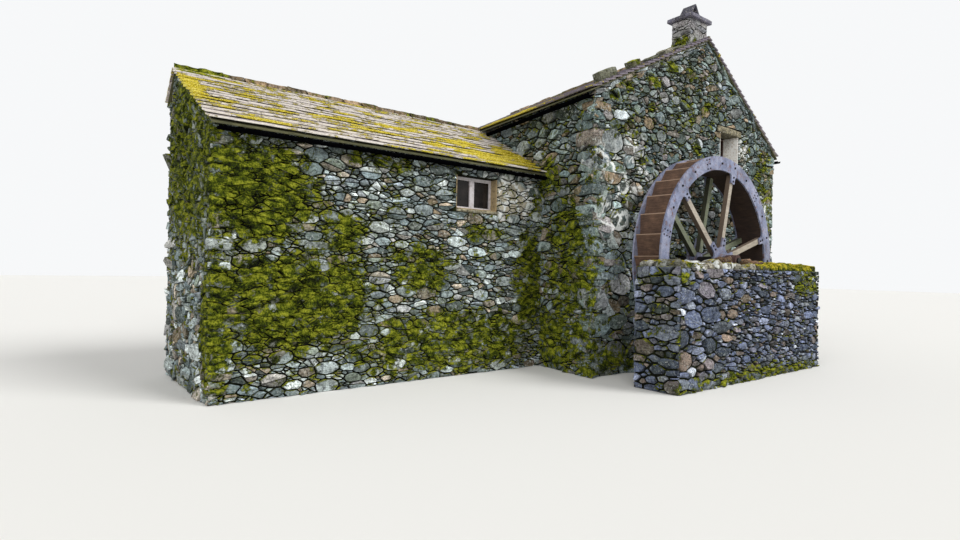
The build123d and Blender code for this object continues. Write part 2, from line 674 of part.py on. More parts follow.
def bucket(y0, y1):
    """One elbow bucket: a board standing on the sole, and an outer board that leans back over the
    bucket behind it."""
    pitch = 360 / BUCKETS
    root = SHROUD_INNER + SOLE_THICK
    elbow = root + (WHEEL_RADIUS - root) * BUCKET_ELBOW_SHARE
    lip = WHEEL_RADIUS - BUCKET_LIP_INSET
    start = pitch / 2
    reach = pitch * BUCKET_REACH_SHARE
    half = degrees(asin(BUCKET_BOARD / root))
    seat = root / cos(radians(start))
    seat_back = root / cos(radians(start - half))
    outline = [polar(seat, start), polar(elbow, start), polar(lip, start - reach),
               polar(lip - BUCKET_BOARD, start - reach),
               polar(elbow - BUCKET_BOARD, start - half), polar(seat_back, start - half)]
    face = make_face(Polyline(*[Vector(x, y0, z) for x, z in outline], close=True))
    return extrude(face, amount=y1 - y0, dir=(0, 1, 0))


def bucket_ring(y0, y1):
    one = bucket(y0, y1)
    return Compound([wheel_turn(SPOKE_PHASE_DEG + n * 360 / BUCKETS) * one for n in range(BUCKETS)])


def wheel_shaft():
    """The shaft, thick through the wheel and turned down to a journal in each bearing."""
    outer_end = PIT_INNER_Y - BEARING_SEAT_GAP - BEARING_LENGTH - 30
    inner_end = INNER_BEARING_INSET + BEARING_LENGTH + SHAFT_TAIL
    shoulder0 = PIT_INNER_Y + 10
    shoulder1 = INNER_BEARING_INSET - 40
    body = disc(JOURNAL_RADIUS, outer_end, inner_end) + disc(SHAFT_RADIUS, shoulder0, shoulder1)
    return Pos(WHEEL_X, 0, WHEEL_Z) * body


def wheel_parts():
    front, back = WHEEL_FRONT_Y, WHEEL_BACK_Y
    board0, board1 = front + SHROUD_THICK, back - SHROUD_THICK
    boss_out = (BOSS_LENGTH - SHROUD_THICK) / 3
    return {
        "outer_shroud": shroud_ring(front, board0),
        "inner_shroud": shroud_ring(board1, back),
        "outer_hub": hub_rose(front, board0, front - boss_out, front - boss_out + BOSS_LENGTH),
        "inner_hub": hub_rose(board1, back, back + boss_out - BOSS_LENGTH, back + boss_out),
        "outer_spokes": spoke_set(board0, board0 + SPOKE_THICK),
        "inner_spokes": spoke_set(board1 - SPOKE_THICK, board1),
        "sole_boards": sole_boards(board0, board1),
        "buckets": bucket_ring(board0, board1),
        "wheel_shaft": wheel_shaft(),
    }


def gable_window(piece):
    return piece(GABLE_WINDOW_X, GABLE_WINDOW_WIDTH, GABLE_WINDOW_SILL, GABLE_WINDOW_HEAD,
                 GABLE_WINDOW_INSET, False)


def rear_window(piece):
    return mill_rear_turn(piece(0, GABLE_WINDOW_WIDTH, GABLE_WINDOW_SILL, GABLE_WINDOW_HEAD,
                                GABLE_WINDOW_INSET, False))


def wing_window(piece):
    return piece(WING_WINDOW_X, WING_WINDOW_WIDTH, WING_WINDOW_SILL, WING_WINDOW_HEAD,
                 WING_FRONT_Y + WING_WINDOW_INSET, True)


def panes(x0, width, z0, z1, y0, mullion):
    return Compound(window_glass(x0, width, z0, z1, y0, mullion))


def building_parts():
    return {
        "wheel_gable_wall": wheel_gable_wall(),
        "rear_gable_wall": rear_gable_wall(),
        "left_side_wall": left_side_wall(),
        "right_side_wall": right_side_wall(),
        "mill_left_roof": mill_left_roof(),
        "mill_right_roof": mill_right_roof(),
        "mill_ridge_stones": mill_ridge_stones(),
        "wing_front_wall": wing_front_wall(),
        "wing_back_wall": wing_back_wall(),
        "wing_end_wall": wing_end_wall(),
        "wing_front_roof": wing_slope(WING_FRONT_EAVES_Y, WING_RIDGE_Y),
        "wing_back_roof": wing_slope(WING_RIDGE_Y, WING_BACK_EAVES_Y),
        "wing_ridge_stones": wing_ridge_stones(),
        "wing_gutter": wing_gutter(),
        "mill_left_gutters": mill_left_gutters(),
        "mill_right_gutter": mill_right_gutter(),
        "chimney_stack": chimney_stack(),
        "chimney_cap": chimney_cap(),
        "chimney_hood": chimney_hood(),
        "gable_window_lintel": gable_window_lintel(),
        "gable_window_frame": gable_window(window_frame),
        "gable_window_glass": gable_window(panes),
        "rear_window_lintel": rear_window_lintel(),
        "rear_window_frame": rear_window(window_frame),
        "rear_window_glass": rear_window(panes),
        "wing_window_frame": wing_window(window_frame),
        "wing_window_glass": wing_window(panes),
        "wing_window_sill": wing_window_sill(),
        "plank_door": plank_door(),
        "door_lintel": door_lintel(),
        "ground_floor": mill_floor(GROUND_FLOOR_THICK, GROUND_FLOOR_THICK),
        "loft_floor": mill_floor(LOFT_FLOOR_TOP, LOFT_FLOOR_THICK),
        "wing_floor": wing_floor(),
        "pit_wall": pit_wall(),
        "pit_coping": pit_coping(),
        "pit_return_wall": pit_return_wall(),
        "outer_bearing": outer_bearing(),
        "inner_bearing": inner_bearing(),
    }


WHEEL = wheel_parts()
BUILDING = building_parts()
WHOLE = Compound([*WHEEL.values(), *BUILDING.values()]).bounding_box()
ORIGIN = Vector((WHOLE.min.X + WHOLE.max.X) / 2, (WHOLE.min.Y + WHOLE.max.Y) / 2, WHOLE.min.Z)
PARTS = {name: Pos(*(-ORIGIN)) * piece for name, piece in {**BUILDING, **WHEEL}.items()}

os.makedirs("parts", exist_ok=True)
for name, piece in PARTS.items():
    export_step(piece, f"parts/{name}.step")
print("origin in layout coordinates", [round(v, 3) for v in ORIGIN])
print("size", [round(v, 1) for v in WHOLE.size])
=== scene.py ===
"""Dresses the CAD frame of a small stone watermill: rubble walls, slate roofs and a bucket wheel."""
import itertools
import math
import random

import bpy
import numpy as np
from mathutils import Matrix, Vector, noise


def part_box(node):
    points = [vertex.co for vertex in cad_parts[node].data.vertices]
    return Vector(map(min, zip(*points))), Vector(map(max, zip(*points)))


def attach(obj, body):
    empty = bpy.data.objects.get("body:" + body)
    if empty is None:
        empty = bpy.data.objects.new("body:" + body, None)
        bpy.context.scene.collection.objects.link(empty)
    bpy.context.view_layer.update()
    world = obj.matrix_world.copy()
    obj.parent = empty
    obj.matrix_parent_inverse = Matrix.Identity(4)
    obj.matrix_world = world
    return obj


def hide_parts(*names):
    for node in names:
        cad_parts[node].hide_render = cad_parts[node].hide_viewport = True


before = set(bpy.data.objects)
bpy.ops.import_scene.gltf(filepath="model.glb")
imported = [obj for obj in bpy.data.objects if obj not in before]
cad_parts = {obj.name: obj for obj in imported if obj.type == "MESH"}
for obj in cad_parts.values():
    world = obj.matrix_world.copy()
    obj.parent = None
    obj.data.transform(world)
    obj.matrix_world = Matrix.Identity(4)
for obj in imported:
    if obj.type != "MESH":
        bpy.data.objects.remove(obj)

bl_info = {
    "name": "Stone Watermill",
    "version": (1, 0, 0),
    "blender": (4, 5, 0),
    "location": "3D View > Sidebar > Watermill",
    "description": "Builds the masonry, slates, timber and ironwork of a small watermill",
    "category": "Object",
}

# Without a seed, mathutils draws the vector noise that wears the stones from the clock.
noise.seed_set(1)

# The mill house's front left corner at ground level is the layout's zero, in metres. East runs along
# the wheel gable and north goes back into the mill house, whose long sides are a few degrees off it.
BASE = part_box("wheel_gable_wall")[0]
EAST, WEST, NORTH, SOUTH, UP = (1, 0, 0), (-1, 0, 0), (0, 1, 0), (0, -1, 0), (0, 0, 1)
SKEW = math.radians(8.1)
SLANT = math.tan(SKEW)
BACKWARD = (math.sin(SKEW), math.cos(SKEW), 0.0)
FORWARD = (-math.sin(SKEW), -math.cos(SKEW), 0.0)
MILL_WIDTH, MILL_LENGTH = 6.46, 7.2
RIDGE_X, RIDGE_TOP = 3.465, 6.7
LEFT_EAVES_X, LEFT_EAVES_TOP = -0.15, 4.93
RIGHT_EAVES_X, RIGHT_EAVES_TOP = 6.61, 4.66
LEFT_RISE = (RIDGE_TOP - LEFT_EAVES_TOP) / (RIDGE_X - LEFT_EAVES_X)
RIGHT_RISE = (RIDGE_TOP - RIGHT_EAVES_TOP) / (RIGHT_EAVES_X - RIDGE_X)
VERGE = 0.06
WING_LENGTH, WING_FRONT_Y, WING_RIDGE_Y, WING_BACK_Y = 5.7, 1.43, 3.614, 4.05
WING_EAVES_Y, WING_EAVES_TOP, WING_RIDGE_TOP = 1.28, 3.68, 4.89
WING_BACK_EAVES_Y, WING_BACK_EAVES_TOP = 4.11, 4.44
WING_RISE = (WING_RIDGE_TOP - WING_EAVES_TOP) / (WING_RIDGE_Y - WING_EAVES_Y)
WING_BACK_RISE = (WING_RIDGE_TOP - WING_BACK_EAVES_TOP) / (WING_BACK_EAVES_Y - WING_RIDGE_Y)
GABLE_WINDOW, GABLE_WINDOW_SILL, GABLE_WINDOW_HEAD = (4.08, 4.84), 3.95, 4.85
WING_WINDOW, WING_WINDOW_SILL, WING_WINDOW_HEAD = (-1.835, -0.935), 2.85, 3.42
DOOR_START, DOOR_END = 4.3 / math.cos(SKEW), 5.25 / math.cos(SKEW)
WHEEL = Vector((2.683, 0.0, 2.061))
WHEEL_FRONT_Y, WHEEL_BACK_Y = -0.856, -0.285
WHEEL_RADIUS, SHROUD_INNER = 1.95, 1.697
SPOKE_PHASE, SPOKES = 16.3, 6
PIT_LEFT_X, PIT_RIGHT_X, PIT_INNER_Y, PIT_OUTER_Y, PIT_TOP = 0.015, 4.96, -0.92, -1.68, 1.9
RETURN_LEFT_X, RETURN_RIGHT_X, RETURN_LENGTH = 4.743, 5.223, 0.9
STACK_LEFT, STACK_RIGHT, STACK_FRONT, STACK_BACK, STACK_FOOT = 3.165, 3.765, 0.18, 0.61, 6.4
CAP_TOP, FLUE_HALF = 7.24, 0.115
EYE, YAW, PITCH, ROLL = (-7.673, -6.547, 1.823), 38.686, -0.105, 1.107
SENSOR, LENS_PIXELS, PHOTO_PIXELS = 36, 581.469, 960

# Inputs of shader nodes, in the order in which rows of values give them.
NOISE = ("Vector", "Scale", "Detail", "Roughness", "Distortion")
RANGE = (0, 1, 2, 3, 4)
TIMES = {"operation": "MULTIPLY"}
PLUS = {"operation": "ADD"}
TIMES_PLUS = {"operation": "MULTIPLY_ADD"}
# How far each stone's own place in a pattern may lie from its true one, in metres.
PATTERN_SHIFT = 40.0


def place(x, y, z):
    """A point of the layout in the shared frame."""
    return BASE + Vector((x, y, z))


def side_x(y, x=0.0):
    """X of a line along the mill house's side walls that starts at x on the gable."""
    return x + SLANT * y


def colour(code):
    """A hex sRGB colour as linear RGBA."""
    parts = [int(code[i:i + 2], 16) / 255 for i in (1, 3, 5)]
    return tuple(p / 12.92 if p <= 0.04045 else ((p + 0.055) / 1.055) ** 2.4 for p in parts) + (1.0,)


def add(tree, kind, inputs=(), out=0, stops=(), **settings):
    """Adds a shader node with its settings, ramp stops and inputs, and gives the output asked for."""
    made = tree.nodes.new("ShaderNode" + kind)
    for key, value in settings.items():
        setattr(made, key, value)
    for key, value in dict(inputs).items():
        if isinstance(value, bpy.types.NodeSocket):
            tree.links.new(value, made.inputs[key])
        else:
            made.inputs[key].default_value = colour(value) if isinstance(value, str) else value
    if stops:
        elements = made.color_ramp.elements
        elements.remove(elements[1])
        for n, (position, value) in enumerate(stops):
            element = elements.new(position) if n else elements[0]
            element.position = position
            element.color = colour(value) if isinstance(value, str) else value
    return made.outputs[out] if len(made.outputs) else made


def add_each(tree, kind, keys, rows, out=0, **settings):
    """Adds a node for each row of values, which go to the same inputs, and gives their outputs."""
    return [add(tree, kind, dict(zip(keys, row)), out, **settings) for row in rows]


def new_material(name, *maps):
    """An empty material: its nodes, its Principled shader, its object coordinates and the maps it reads."""
    made = bpy.data.materials.new(name)
    made.use_nodes = True
    tree = made.node_tree
    tree.nodes.clear()
    shader = add(tree, "BsdfPrincipled")
    add(tree, "OutputMaterial", {0: shader})
    read = [add(tree, "Attribute", out="Fac", attribute_name=key) for key in maps]
    return tree, shader.node, add(tree, "TexCoord", out="Object"), *read


def surface(tree, shader, body, layers, numbers, relief=None):
    """Lays layers over a body colour, and gives the shader that colour, its numbers and its relief."""
    for cover, layer, *blend in layers:
        body = add(tree, "Mix", {0: cover, 6: body, 7: layer}, 2, data_type="RGBA",
                   blend_type=blend[0] if blend else "MIX")
    tree.links.new(body, shader.inputs["Base Color"])
    for key, value in numbers.items():
        shader.inputs[key].default_value = value
    if relief:
        tree.links.new(add(tree, "Bump", relief), shader.inputs["Normal"])


def stone_finish(name, tones, moss, lichen, damp=0.35, tips=None):
    """Fieldstone in a wall, with moss, lichen and lime."""
    # Split and river-worn rock: matt, pitted faces of many greys with bedding planes every 1 to 2 cm,
    # pale lichen crusts 2 to 6 cm wide, white lime that branches in threads of 2 to 4 cm, painted shade
    # down in the joints, and moss in cushions of 8 to 15 cm that starts in the joints and on ledges. Faces
    # that look up are painted lighter and faces that look down darker, as light and shade, and the moss
    # is painted lighter on its cushion tops and darker in the creases between them.
    tree, shader, coords, tone, shade, moss_map, lime_map, depth = new_material(
        name, "tone", "shade", "moss", "lime", "depth")
    up = add(tree, "SeparateXYZ", {0: add(tree, "TexCoord", out="Normal")}, "Z")
    shift = add(tree, "Math", {0: shade, 1: PATTERN_SHIFT}, **TIMES)
    own = add(tree, "VectorMath", {0: coords, 1: shift}, **PLUS)
    beds = add(tree, "Mapping", {"Vector": own, "Scale": (9.0, 9.0, 62.0), "Rotation": (0.25, 0.2, 0.0)})
    blotch, grain, pits, beds, wide, shape, tuft, creep, runs = add_each(tree, "TexNoise", NOISE, (
        (own, 15.0, 7.0, 0.72), (own, 85.0, 4.0, 0.75), (own, 42.0, 5.0, 0.7), (beds, 1.0, 4.0, 0.65),
        (coords, 2.4, 4.0, 0.6), (coords, 27.0, 6.0, 0.66, 0.5), (coords, 40.0, 6.0, 0.82),
        (coords, 5.5, 8.0, 0.74), (coords, 4.4)))
    # The last range is painted light and shade: faces that look up come out lighter, faces that look down
    # darker.
    light, *parts = add_each(tree, "MapRange", RANGE, (
        (blotch, 0.34, 0.68, 0.22, 2.4), (shade, 0.0, 1.0, 0.5, 1.52), (beds, 0.34, 0.66, 0.6, 1.4),
        (grain, 0.3, 0.7, 0.62, 1.42), (pits, 0.36, 0.46, 0.32, 1.0), (up, -0.45, 0.6, 0.55, 1.5)))
    for part in parts:
        light = add(tree, "Math", {0: light, 1: part}, **TIMES)
    # joint_shade is painted shade: each stone grows darker from its crown down into the joints.
    stain, algae, young, crust, where, joint_shade, runs, smear, broken, sparse, mask = add_each(
        tree, "MapRange", RANGE, (
            (wide, 0.5, 0.68, 0.0, damp), (moss_map, 0.3, 0.85, 0.12, 0.6), (blotch, 0.36, 0.6),
            (shape, 0.56, 0.62), (wide, 0.4, 0.62, 0.2, lichen), (depth, 0.05, 0.8, 0.06, 1.0),
            (runs, 0.36, 0.42), (depth, 0.2, 0.7, 0.6, 0.0), (wide, 0.44, 0.52),
            (grain, 0.35, 0.6, -1.2, -0.9), (creep, 0.32, 0.68, moss - 1.55, moss - 0.55)))
    wander, sway = add_each(tree, "TexNoise", NOISE, ((coords, 7.0, 6.0, 0.7), (coords, 9.0, 3.0, 0.6)),
                            "Color")
    wander, sway = add_each(tree, "VectorMath", (0, "Scale"), ((wander, 0.3), (sway, 0.11)),
                            operation="SCALE")
    thread, pillow = add_each(tree, "VectorMath", (0, 1), ((coords, wander), (coords, sway)), **PLUS)
    thread = add(tree, "TexVoronoi", {"Vector": thread, "Scale": 3.6}, feature="DISTANCE_TO_EDGE")
    pillow = add(tree, "Mapping", {"Vector": pillow, "Scale": (7.5, 7.5, 13.0)})
    pillow = add(tree, "TexVoronoi", {"Vector": pillow, "Scale": 1.0, "Smoothness": 0.35}, "Distance",
                 feature="SMOOTH_F1")
    thread, pillow = add_each(tree, "MapRange", RANGE, (
        (thread, 0.06, 0.13, 1.0, 0.0), (pillow, 0.1, 0.85, 1.0, 0.0)))
    algae, crust, smear, thread = add_each(tree, "Math", (0, 1), (
        (algae, young), (crust, where), (smear, broken), (thread, runs)), **TIMES)
    limy = add(tree, "Math", {0: thread, 1: smear}, operation="MAXIMUM")
    limy = add(tree, "Math", {0: limy, 1: lime_map}, operation="MULTIPLY", use_clamp=True)
    coat, mask = add_each(tree, "Math", (0, 1), ((lime_map, sparse), (mask, moss_map)), **PLUS)
    coat = add(tree, "MapRange", {0: coat, 1: 0.0, 2: 0.25, 3: 0.0, 4: 0.85})
    for signal, strength in ((up, 0.22), (depth, -0.2)):
        mask = add(tree, "Math", {0: signal, 1: strength, 2: mask}, **TIMES_PLUS)
    # Painted light and shade on the moss: lighter on the tops of its cushions and on faces that look up,
    # darker in the creases.
    lit = add(tree, "Math", {0: tuft, 1: 2.5}, **TIMES)
    for signal, strength in ((pillow, 0.62), (up, 0.35)):
        lit = add(tree, "Math", {0: signal, 1: strength, 2: lit}, **TIMES_PLUS)
    mask, lit = add_each(tree, "MapRange", RANGE, ((mask, -0.12, 0.04), (lit, 0.9, 2.15)))
    settings = bpy.context.scene.watermill_stone
    green = add(tree, "ValToRGB", {0: lit}, stops=[
        (0.12, "#0a0e05"), (0.33, "#343f0b"), (0.54, settings.moss_colour),
        (0.8, tips or settings.moss_tips)])
    height = add(tree, "Math", {0: mask, 1: lit}, **TIMES)
    height = add(tree, "Math", {0: height, 1: 2.4, 2: blotch}, **TIMES_PLUS)
    for signal, strength in ((grain, 0.35), (pits, 0.5), (beds, 0.5)):
        height = add(tree, "Math", {0: signal, 1: strength, 2: height}, **TIMES_PLUS)
    surface(tree, shader, add(tree, "ValToRGB", {0: tone}, stops=tones),
            ((1.0, light, "MULTIPLY"), (stain, "#1d1f18"), (algae, "#6b754e"), (crust, "#c3c9c4"),
             (1.0, joint_shade, "MULTIPLY"), (coat, "#cbc2ac"), (limy, "#eef1ee"), (mask, green)),
            {"Roughness": 0.9, "Specular IOR Level": 0.12},
            {"Height": height, "Distance": 0.028, "Strength": 1.0})


def bedding_finish():
    """What the stones are bedded in."""
    # Earth and old lime deep in open joints: nearly black, damp, crumbs of 1 cm, with moss in places.
    tree, shader, coords = new_material("earth_bedding")
    patch, crumbs = add_each(tree, "TexNoise", NOISE, ((coords, 9.0, 6.0, 0.7), (coords, 90.0, 5.0, 0.7)))
    body = add(tree, "ValToRGB", {0: patch}, stops=[
        (0.3, "#0b0c09"), (0.52, "#15160f"), (0.62, "#22270f"), (0.75, "#303020")])
    surface(tree, shader, body, (), {"Roughness": 0.95, "Specular IOR Level": 0.05},
            {"Height": crumbs, "Distance": 0.01})


def slate_finish(name, tones, moss, tails, along="X"):
    """Thick slates on a roof, with moss that runs along the courses."""
    # Riven slate: layered and matt, bleached at its broken tail, with lichen spots of 1 to 3 cm and
    # yellow moss that creeps along the tails in streaks a few times longer than they are high. On the
    # wing's slates the tails' pale colour is also a painted highlight of their lit edges.
    tree, shader, coords, tone, shade, moss_map, edge = new_material(name, "tone", "shade", "moss", "edge")
    shift = add(tree, "Math", {0: shade, 1: PATTERN_SHIFT}, **TIMES)
    own = add(tree, "VectorMath", {0: coords, 1: shift}, **PLUS)
    scale = [5.0, 5.0, 6.0]
    scale["XYZ".index(along)] = 1.7
    run = add(tree, "Mapping", {"Vector": coords, "Scale": scale})
    blotch, grain, spots, creep, tuft = add_each(tree, "TexNoise", NOISE, (
        (own, 12.0, 7.0, 0.74), (own, 95.0, 4.0, 0.7), (coords, 36.0, 5.0, 0.6, 0.5), (run, 1.0, 9.0, 0.78),
        (coords, 48.0, 5.0, 0.8)))
    light, *parts, crust, worn, mask = add_each(tree, "MapRange", RANGE, (
        (blotch, 0.32, 0.7, 0.5, 1.4), (grain, 0.3, 0.7, 0.76, 1.22), (shade, 0.0, 1.0, 0.88, 1.1),
        (spots, 0.57, 0.64, 0.0, 0.55), (blotch, 0.3, 0.5, 0.5, 1.0),
        (creep, 0.34, 0.66, moss - 1.5, moss - 0.5)))
    for part in parts:
        light = add(tree, "Math", {0: light, 1: part}, **TIMES)
    mask = add(tree, "Math", {0: mask, 1: moss_map}, **PLUS)
    mask = add(tree, "Math", {0: edge, 1: 0.12, 2: mask}, **TIMES_PLUS)
    mask = add(tree, "MapRange", {0: mask, 1: -0.05, 2: 0.06})
    # The tails' mask: bleached patches, and on the wing's slates a painted highlight on the lit edges.
    worn, hump = add_each(tree, "Math", (0, 1), ((edge, worn), (mask, tuft)), **TIMES)
    yellow = add(tree, "ValToRGB", {0: tuft}, stops=[
        (0.34, "#7a6f16"), (0.42, "#bfae28"), (0.5, bpy.context.scene.watermill_slate.moss_colour),
        (0.64, "#fbf0a0")])
    layers = add(tree, "Math", {0: grain, 1: 0.3, 2: blotch}, **TIMES_PLUS)
    height = add(tree, "Math", {0: hump, 1: 2.4, 2: layers}, **TIMES_PLUS)
    surface(tree, shader, add(tree, "ValToRGB", {0: tone}, stops=tones),
            ((1.0, light, "MULTIPLY"), (crust, "#cfccc0"), (worn, tails), (mask, yellow)),
            {"Roughness": 0.8, "Specular IOR Level": 0.2},
            {"Height": height, "Distance": 0.014, "Strength": 0.9})


def iron_finish():
    """The wheel's rims and hubs."""
    # Cast iron that has lost its paint: a chalky lavender grey skin, dull, with rust that bleeds in
    # patches of 5 to 20 cm, dark runs and a sandy casting grain of a few mm.
    tree, shader, coords = new_material("weathered_cast_iron")
    settings = bpy.context.scene.watermill_wheel
    patch, fine, wide, bleed = add_each(tree, "TexNoise", NOISE, (
        (coords, 5.0, 8.0, 0.72), (coords, 60.0, 5.0, 0.75), (coords, 2.2, 6.0, 0.7),
        (coords, 9.0, 8.0, 0.78)))
    bleed = add(tree, "Math", {0: fine, 1: 0.14, 2: bleed}, **TIMES_PLUS)
    light, wide, rust = add_each(tree, "MapRange", RANGE, (
        (fine, 0.3, 0.7, 0.62, 1.2), (wide, 0.36, 0.62, 0.66, 1.1), (bleed, 0.6, 0.7, 0.0, 0.85)))
    light = add(tree, "Math", {0: light, 1: wide}, **TIMES)
    body = add(tree, "ValToRGB", {0: patch}, stops=[
        (0.32, "#56586a"), (0.45, settings.iron_colour), (0.58, "#999db4"), (0.75, "#737589")])
    brown = add(tree, "ValToRGB", {0: fine}, stops=[
        (0.3, "#2c1a14"), (0.52, settings.rust_colour), (0.75, "#8f6a52")])
    height = add(tree, "Math", {0: fine, 1: patch}, **PLUS)
    surface(tree, shader, body, ((1.0, light, "MULTIPLY"), (rust, brown)),
            {"Roughness": 0.6, "Metallic": 0.15}, {"Height": height, "Distance": 0.005, "Strength": 0.6})


def timber_finish(name, stops, along, side_shade=None, lip_highlight_from=None):
    """Oak or elm board out in the weather, its grain along one axis."""
    # Sawn timber, wet and dry for years: silvered or stained, fibres about 1 cm wide that run its
    # length, black drying checks and blotches of algae; no gloss.
    tree, shader, coords = new_material(name)
    scale = [26.0, 26.0, 26.0]
    scale["XYZ".index(along)] = 1.8
    fibre = add(tree, "Mapping", {"Vector": coords, "Scale": scale})
    fibre, patch = add_each(tree, "TexNoise", NOISE, ((fibre, 3.0, 7.0, 0.68, 0.5), (coords, 4.0, 6.0, 0.68)))
    blend = add(tree, "Mix", {0: 0.45, 2: fibre, 3: patch}, data_type="FLOAT")
    checks = add(tree, "MapRange", {0: fibre, 1: 0.3, 2: 0.4, 3: 0.35, 4: 1.0})
    layers = [(1.0, checks, "MULTIPLY")]
    # Painted shade: faces that don't look along Y, such as a spoke's sides, are darkened by this colour.
    if side_shade:
        front = add(tree, "SeparateXYZ", {0: add(tree, "TexCoord", out="Normal")}, "Y")
        front = add(tree, "Math", {0: front}, operation="ABSOLUTE")
        side = add(tree, "MapRange", {0: front, 1: 0.5, 2: 0.8, 3: 0.85, 4: 0.0})
        layers.append((side, side_shade, "MULTIPLY"))
    # Painted highlight: a pale band on the boards' outer ends at the wheel's rim, where the lips catch the
    # light.
    if lip_highlight_from:
        middle = BASE + WHEEL
        out = add(tree, "VectorMath", {0: coords, 1: (middle.x, 0.0, middle.z)}, operation="SUBTRACT")
        out = add(tree, "VectorMath", {0: out, 1: (1.0, 0.0, 1.0)}, **TIMES)
        out = add(tree, "VectorMath", {0: out}, "Value", operation="LENGTH")
        lip_highlight = add(tree, "MapRange", {0: out, 1: lip_highlight_from, 2: lip_highlight_from + 0.006, 3: 0.0, 4: 0.8})
        layers.append((lip_highlight, "#b79b84"))
    surface(tree, shader, add(tree, "ValToRGB", {0: blend}, stops=stops), layers, {"Roughness": 0.82},
            {"Height": fibre, "Distance": 0.008, "Strength": 0.8})


def coat_finish(name, code, wear, amount, rough, metal=0.0, gloss=0.5):
    """Paint, limewash or bare small iron: one coat with its wear."""
    # Brushed on by hand years ago: even colour, worn through in flecks of 1 to 4 cm, a little uneven.
    tree, shader, coords = new_material(name)
    patch, wide = add_each(tree, "TexNoise", NOISE, ((coords, 20.0, 7.0, 0.7), (coords, 4.0, 4.0, 0.6)))
    worn, uneven = add_each(tree, "MapRange", RANGE, (
        (patch, 0.5, 0.66, 0.0, amount), (wide, 0.3, 0.7, 0.8, 1.1)))
    surface(tree, shader, code, ((worn, wear), (1.0, uneven, "MULTIPLY")),
            {"Roughness": rough, "Metallic": metal, "Specular IOR Level": gloss},
            {"Height": patch, "Distance": 0.003, "Strength": 0.4})


def glass_finish():
    """The window panes."""
    # Old drawn glass, dusty in clouds of 10 cm and softly glossy, coloured nearly black as painted shade for
    # the dark room behind it.
    tree, shader, coords = new_material("dusty_window_glass")
    dust = add(tree, "TexNoise", {"Vector": coords, "Scale": 7.0, "Detail": 4.0, "Roughness": 0.6})
    body = add(tree, "ValToRGB", {0: dust}, stops=[(0.3, "#0f0d0c"), (0.7, "#2a2422")])
    surface(tree, shader, body, (), {"Roughness": 0.2, "Specular IOR Level": 0.25})


class Face:
    """A flat face: points on it are (u along it, v up it, height out of it) in metres."""

    def __init__(self, origin, along, up=UP):
        self.origin = Vector(origin)
        self.u = Vector(along).normalized()
        self.n = self.u.cross(Vector(up)).normalized()
        self.v = self.n.cross(self.u)
        self.axes = np.array([self.u, self.v, self.n])

    def local(self, point):
        away = Vector(point) - self.origin
        return away.dot(self.u), away.dot(self.v)

    def world(self, points):
        return np.asarray(points) @ self.axes + np.array(self.origin + BASE)


def clip(poly, nu, nv, limit):
    """The part of a convex polygon on the near side of a line."""
    kept = []
    for i, (u, v) in enumerate(poly):
        pu, pv = poly[i - 1]
        a = nu * pu + nv * pv - limit
        b = nu * u + nv * v - limit
        if (a < 0) != (b < 0):
            t = a / (a - b)
            kept.append((pu + (u - pu) * t, pv + (v - pv) * t))
        if b <= 0:
            kept.append((u, v))
    return kept


def edges_of(outline):
    """Outward normal and offset of each side of a counterclockwise convex outline."""
    sides = []
    for i, (u, v) in enumerate(outline):
        pu, pv = outline[i - 1]
        du, dv = u - pu, v - pv
        size = math.hypot(du, dv)
        sides.append((dv / size, -du / size, (dv * pu - du * pv) / size))
    return sides


def box_of(poly):
    """Lowest and highest u, and lowest and highest v, of a polygon."""
    us, vs = zip(*poly)
    return min(us), max(us), min(vs), max(vs)


def middle_of(poly):
    """The mean of a polygon's corners."""
    return sum(p[0] for p in poly) / len(poly), sum(p[1] for p in poly) / len(poly)


def rubble_seeds(box, stone, rng, stretch, growth=None):
    """Stone middles, each with its reach: a few big stones, then ever smaller ones in between."""
    u0, u1, v0, v1 = box
    spots, count = np.zeros((20000, 3)), 0
    for share, tries in ((2.0, 0.5), (1.45, 1.2), (1.0, 3.0), (0.7, 4.0), (0.46, 4.0)):
        for _ in range(int((u1 - u0) * (v1 - v0) * stretch / (stone * share) ** 2 * tries)):
            u, v = rng.uniform(u0, u1), rng.uniform(v0, v1)
            reach = stone * share / 2 * (growth(u, v) if growth else 1.0)
            held = spots[:count]
            away = (held[:, 0] - u) ** 2 + ((held[:, 1] - v) * stretch) ** 2
            if count and (away < 0.8 * (held[:, 2] + reach) ** 2).any():
                continue
            spots[count] = u, v, reach
            count += 1
    return spots[:count]


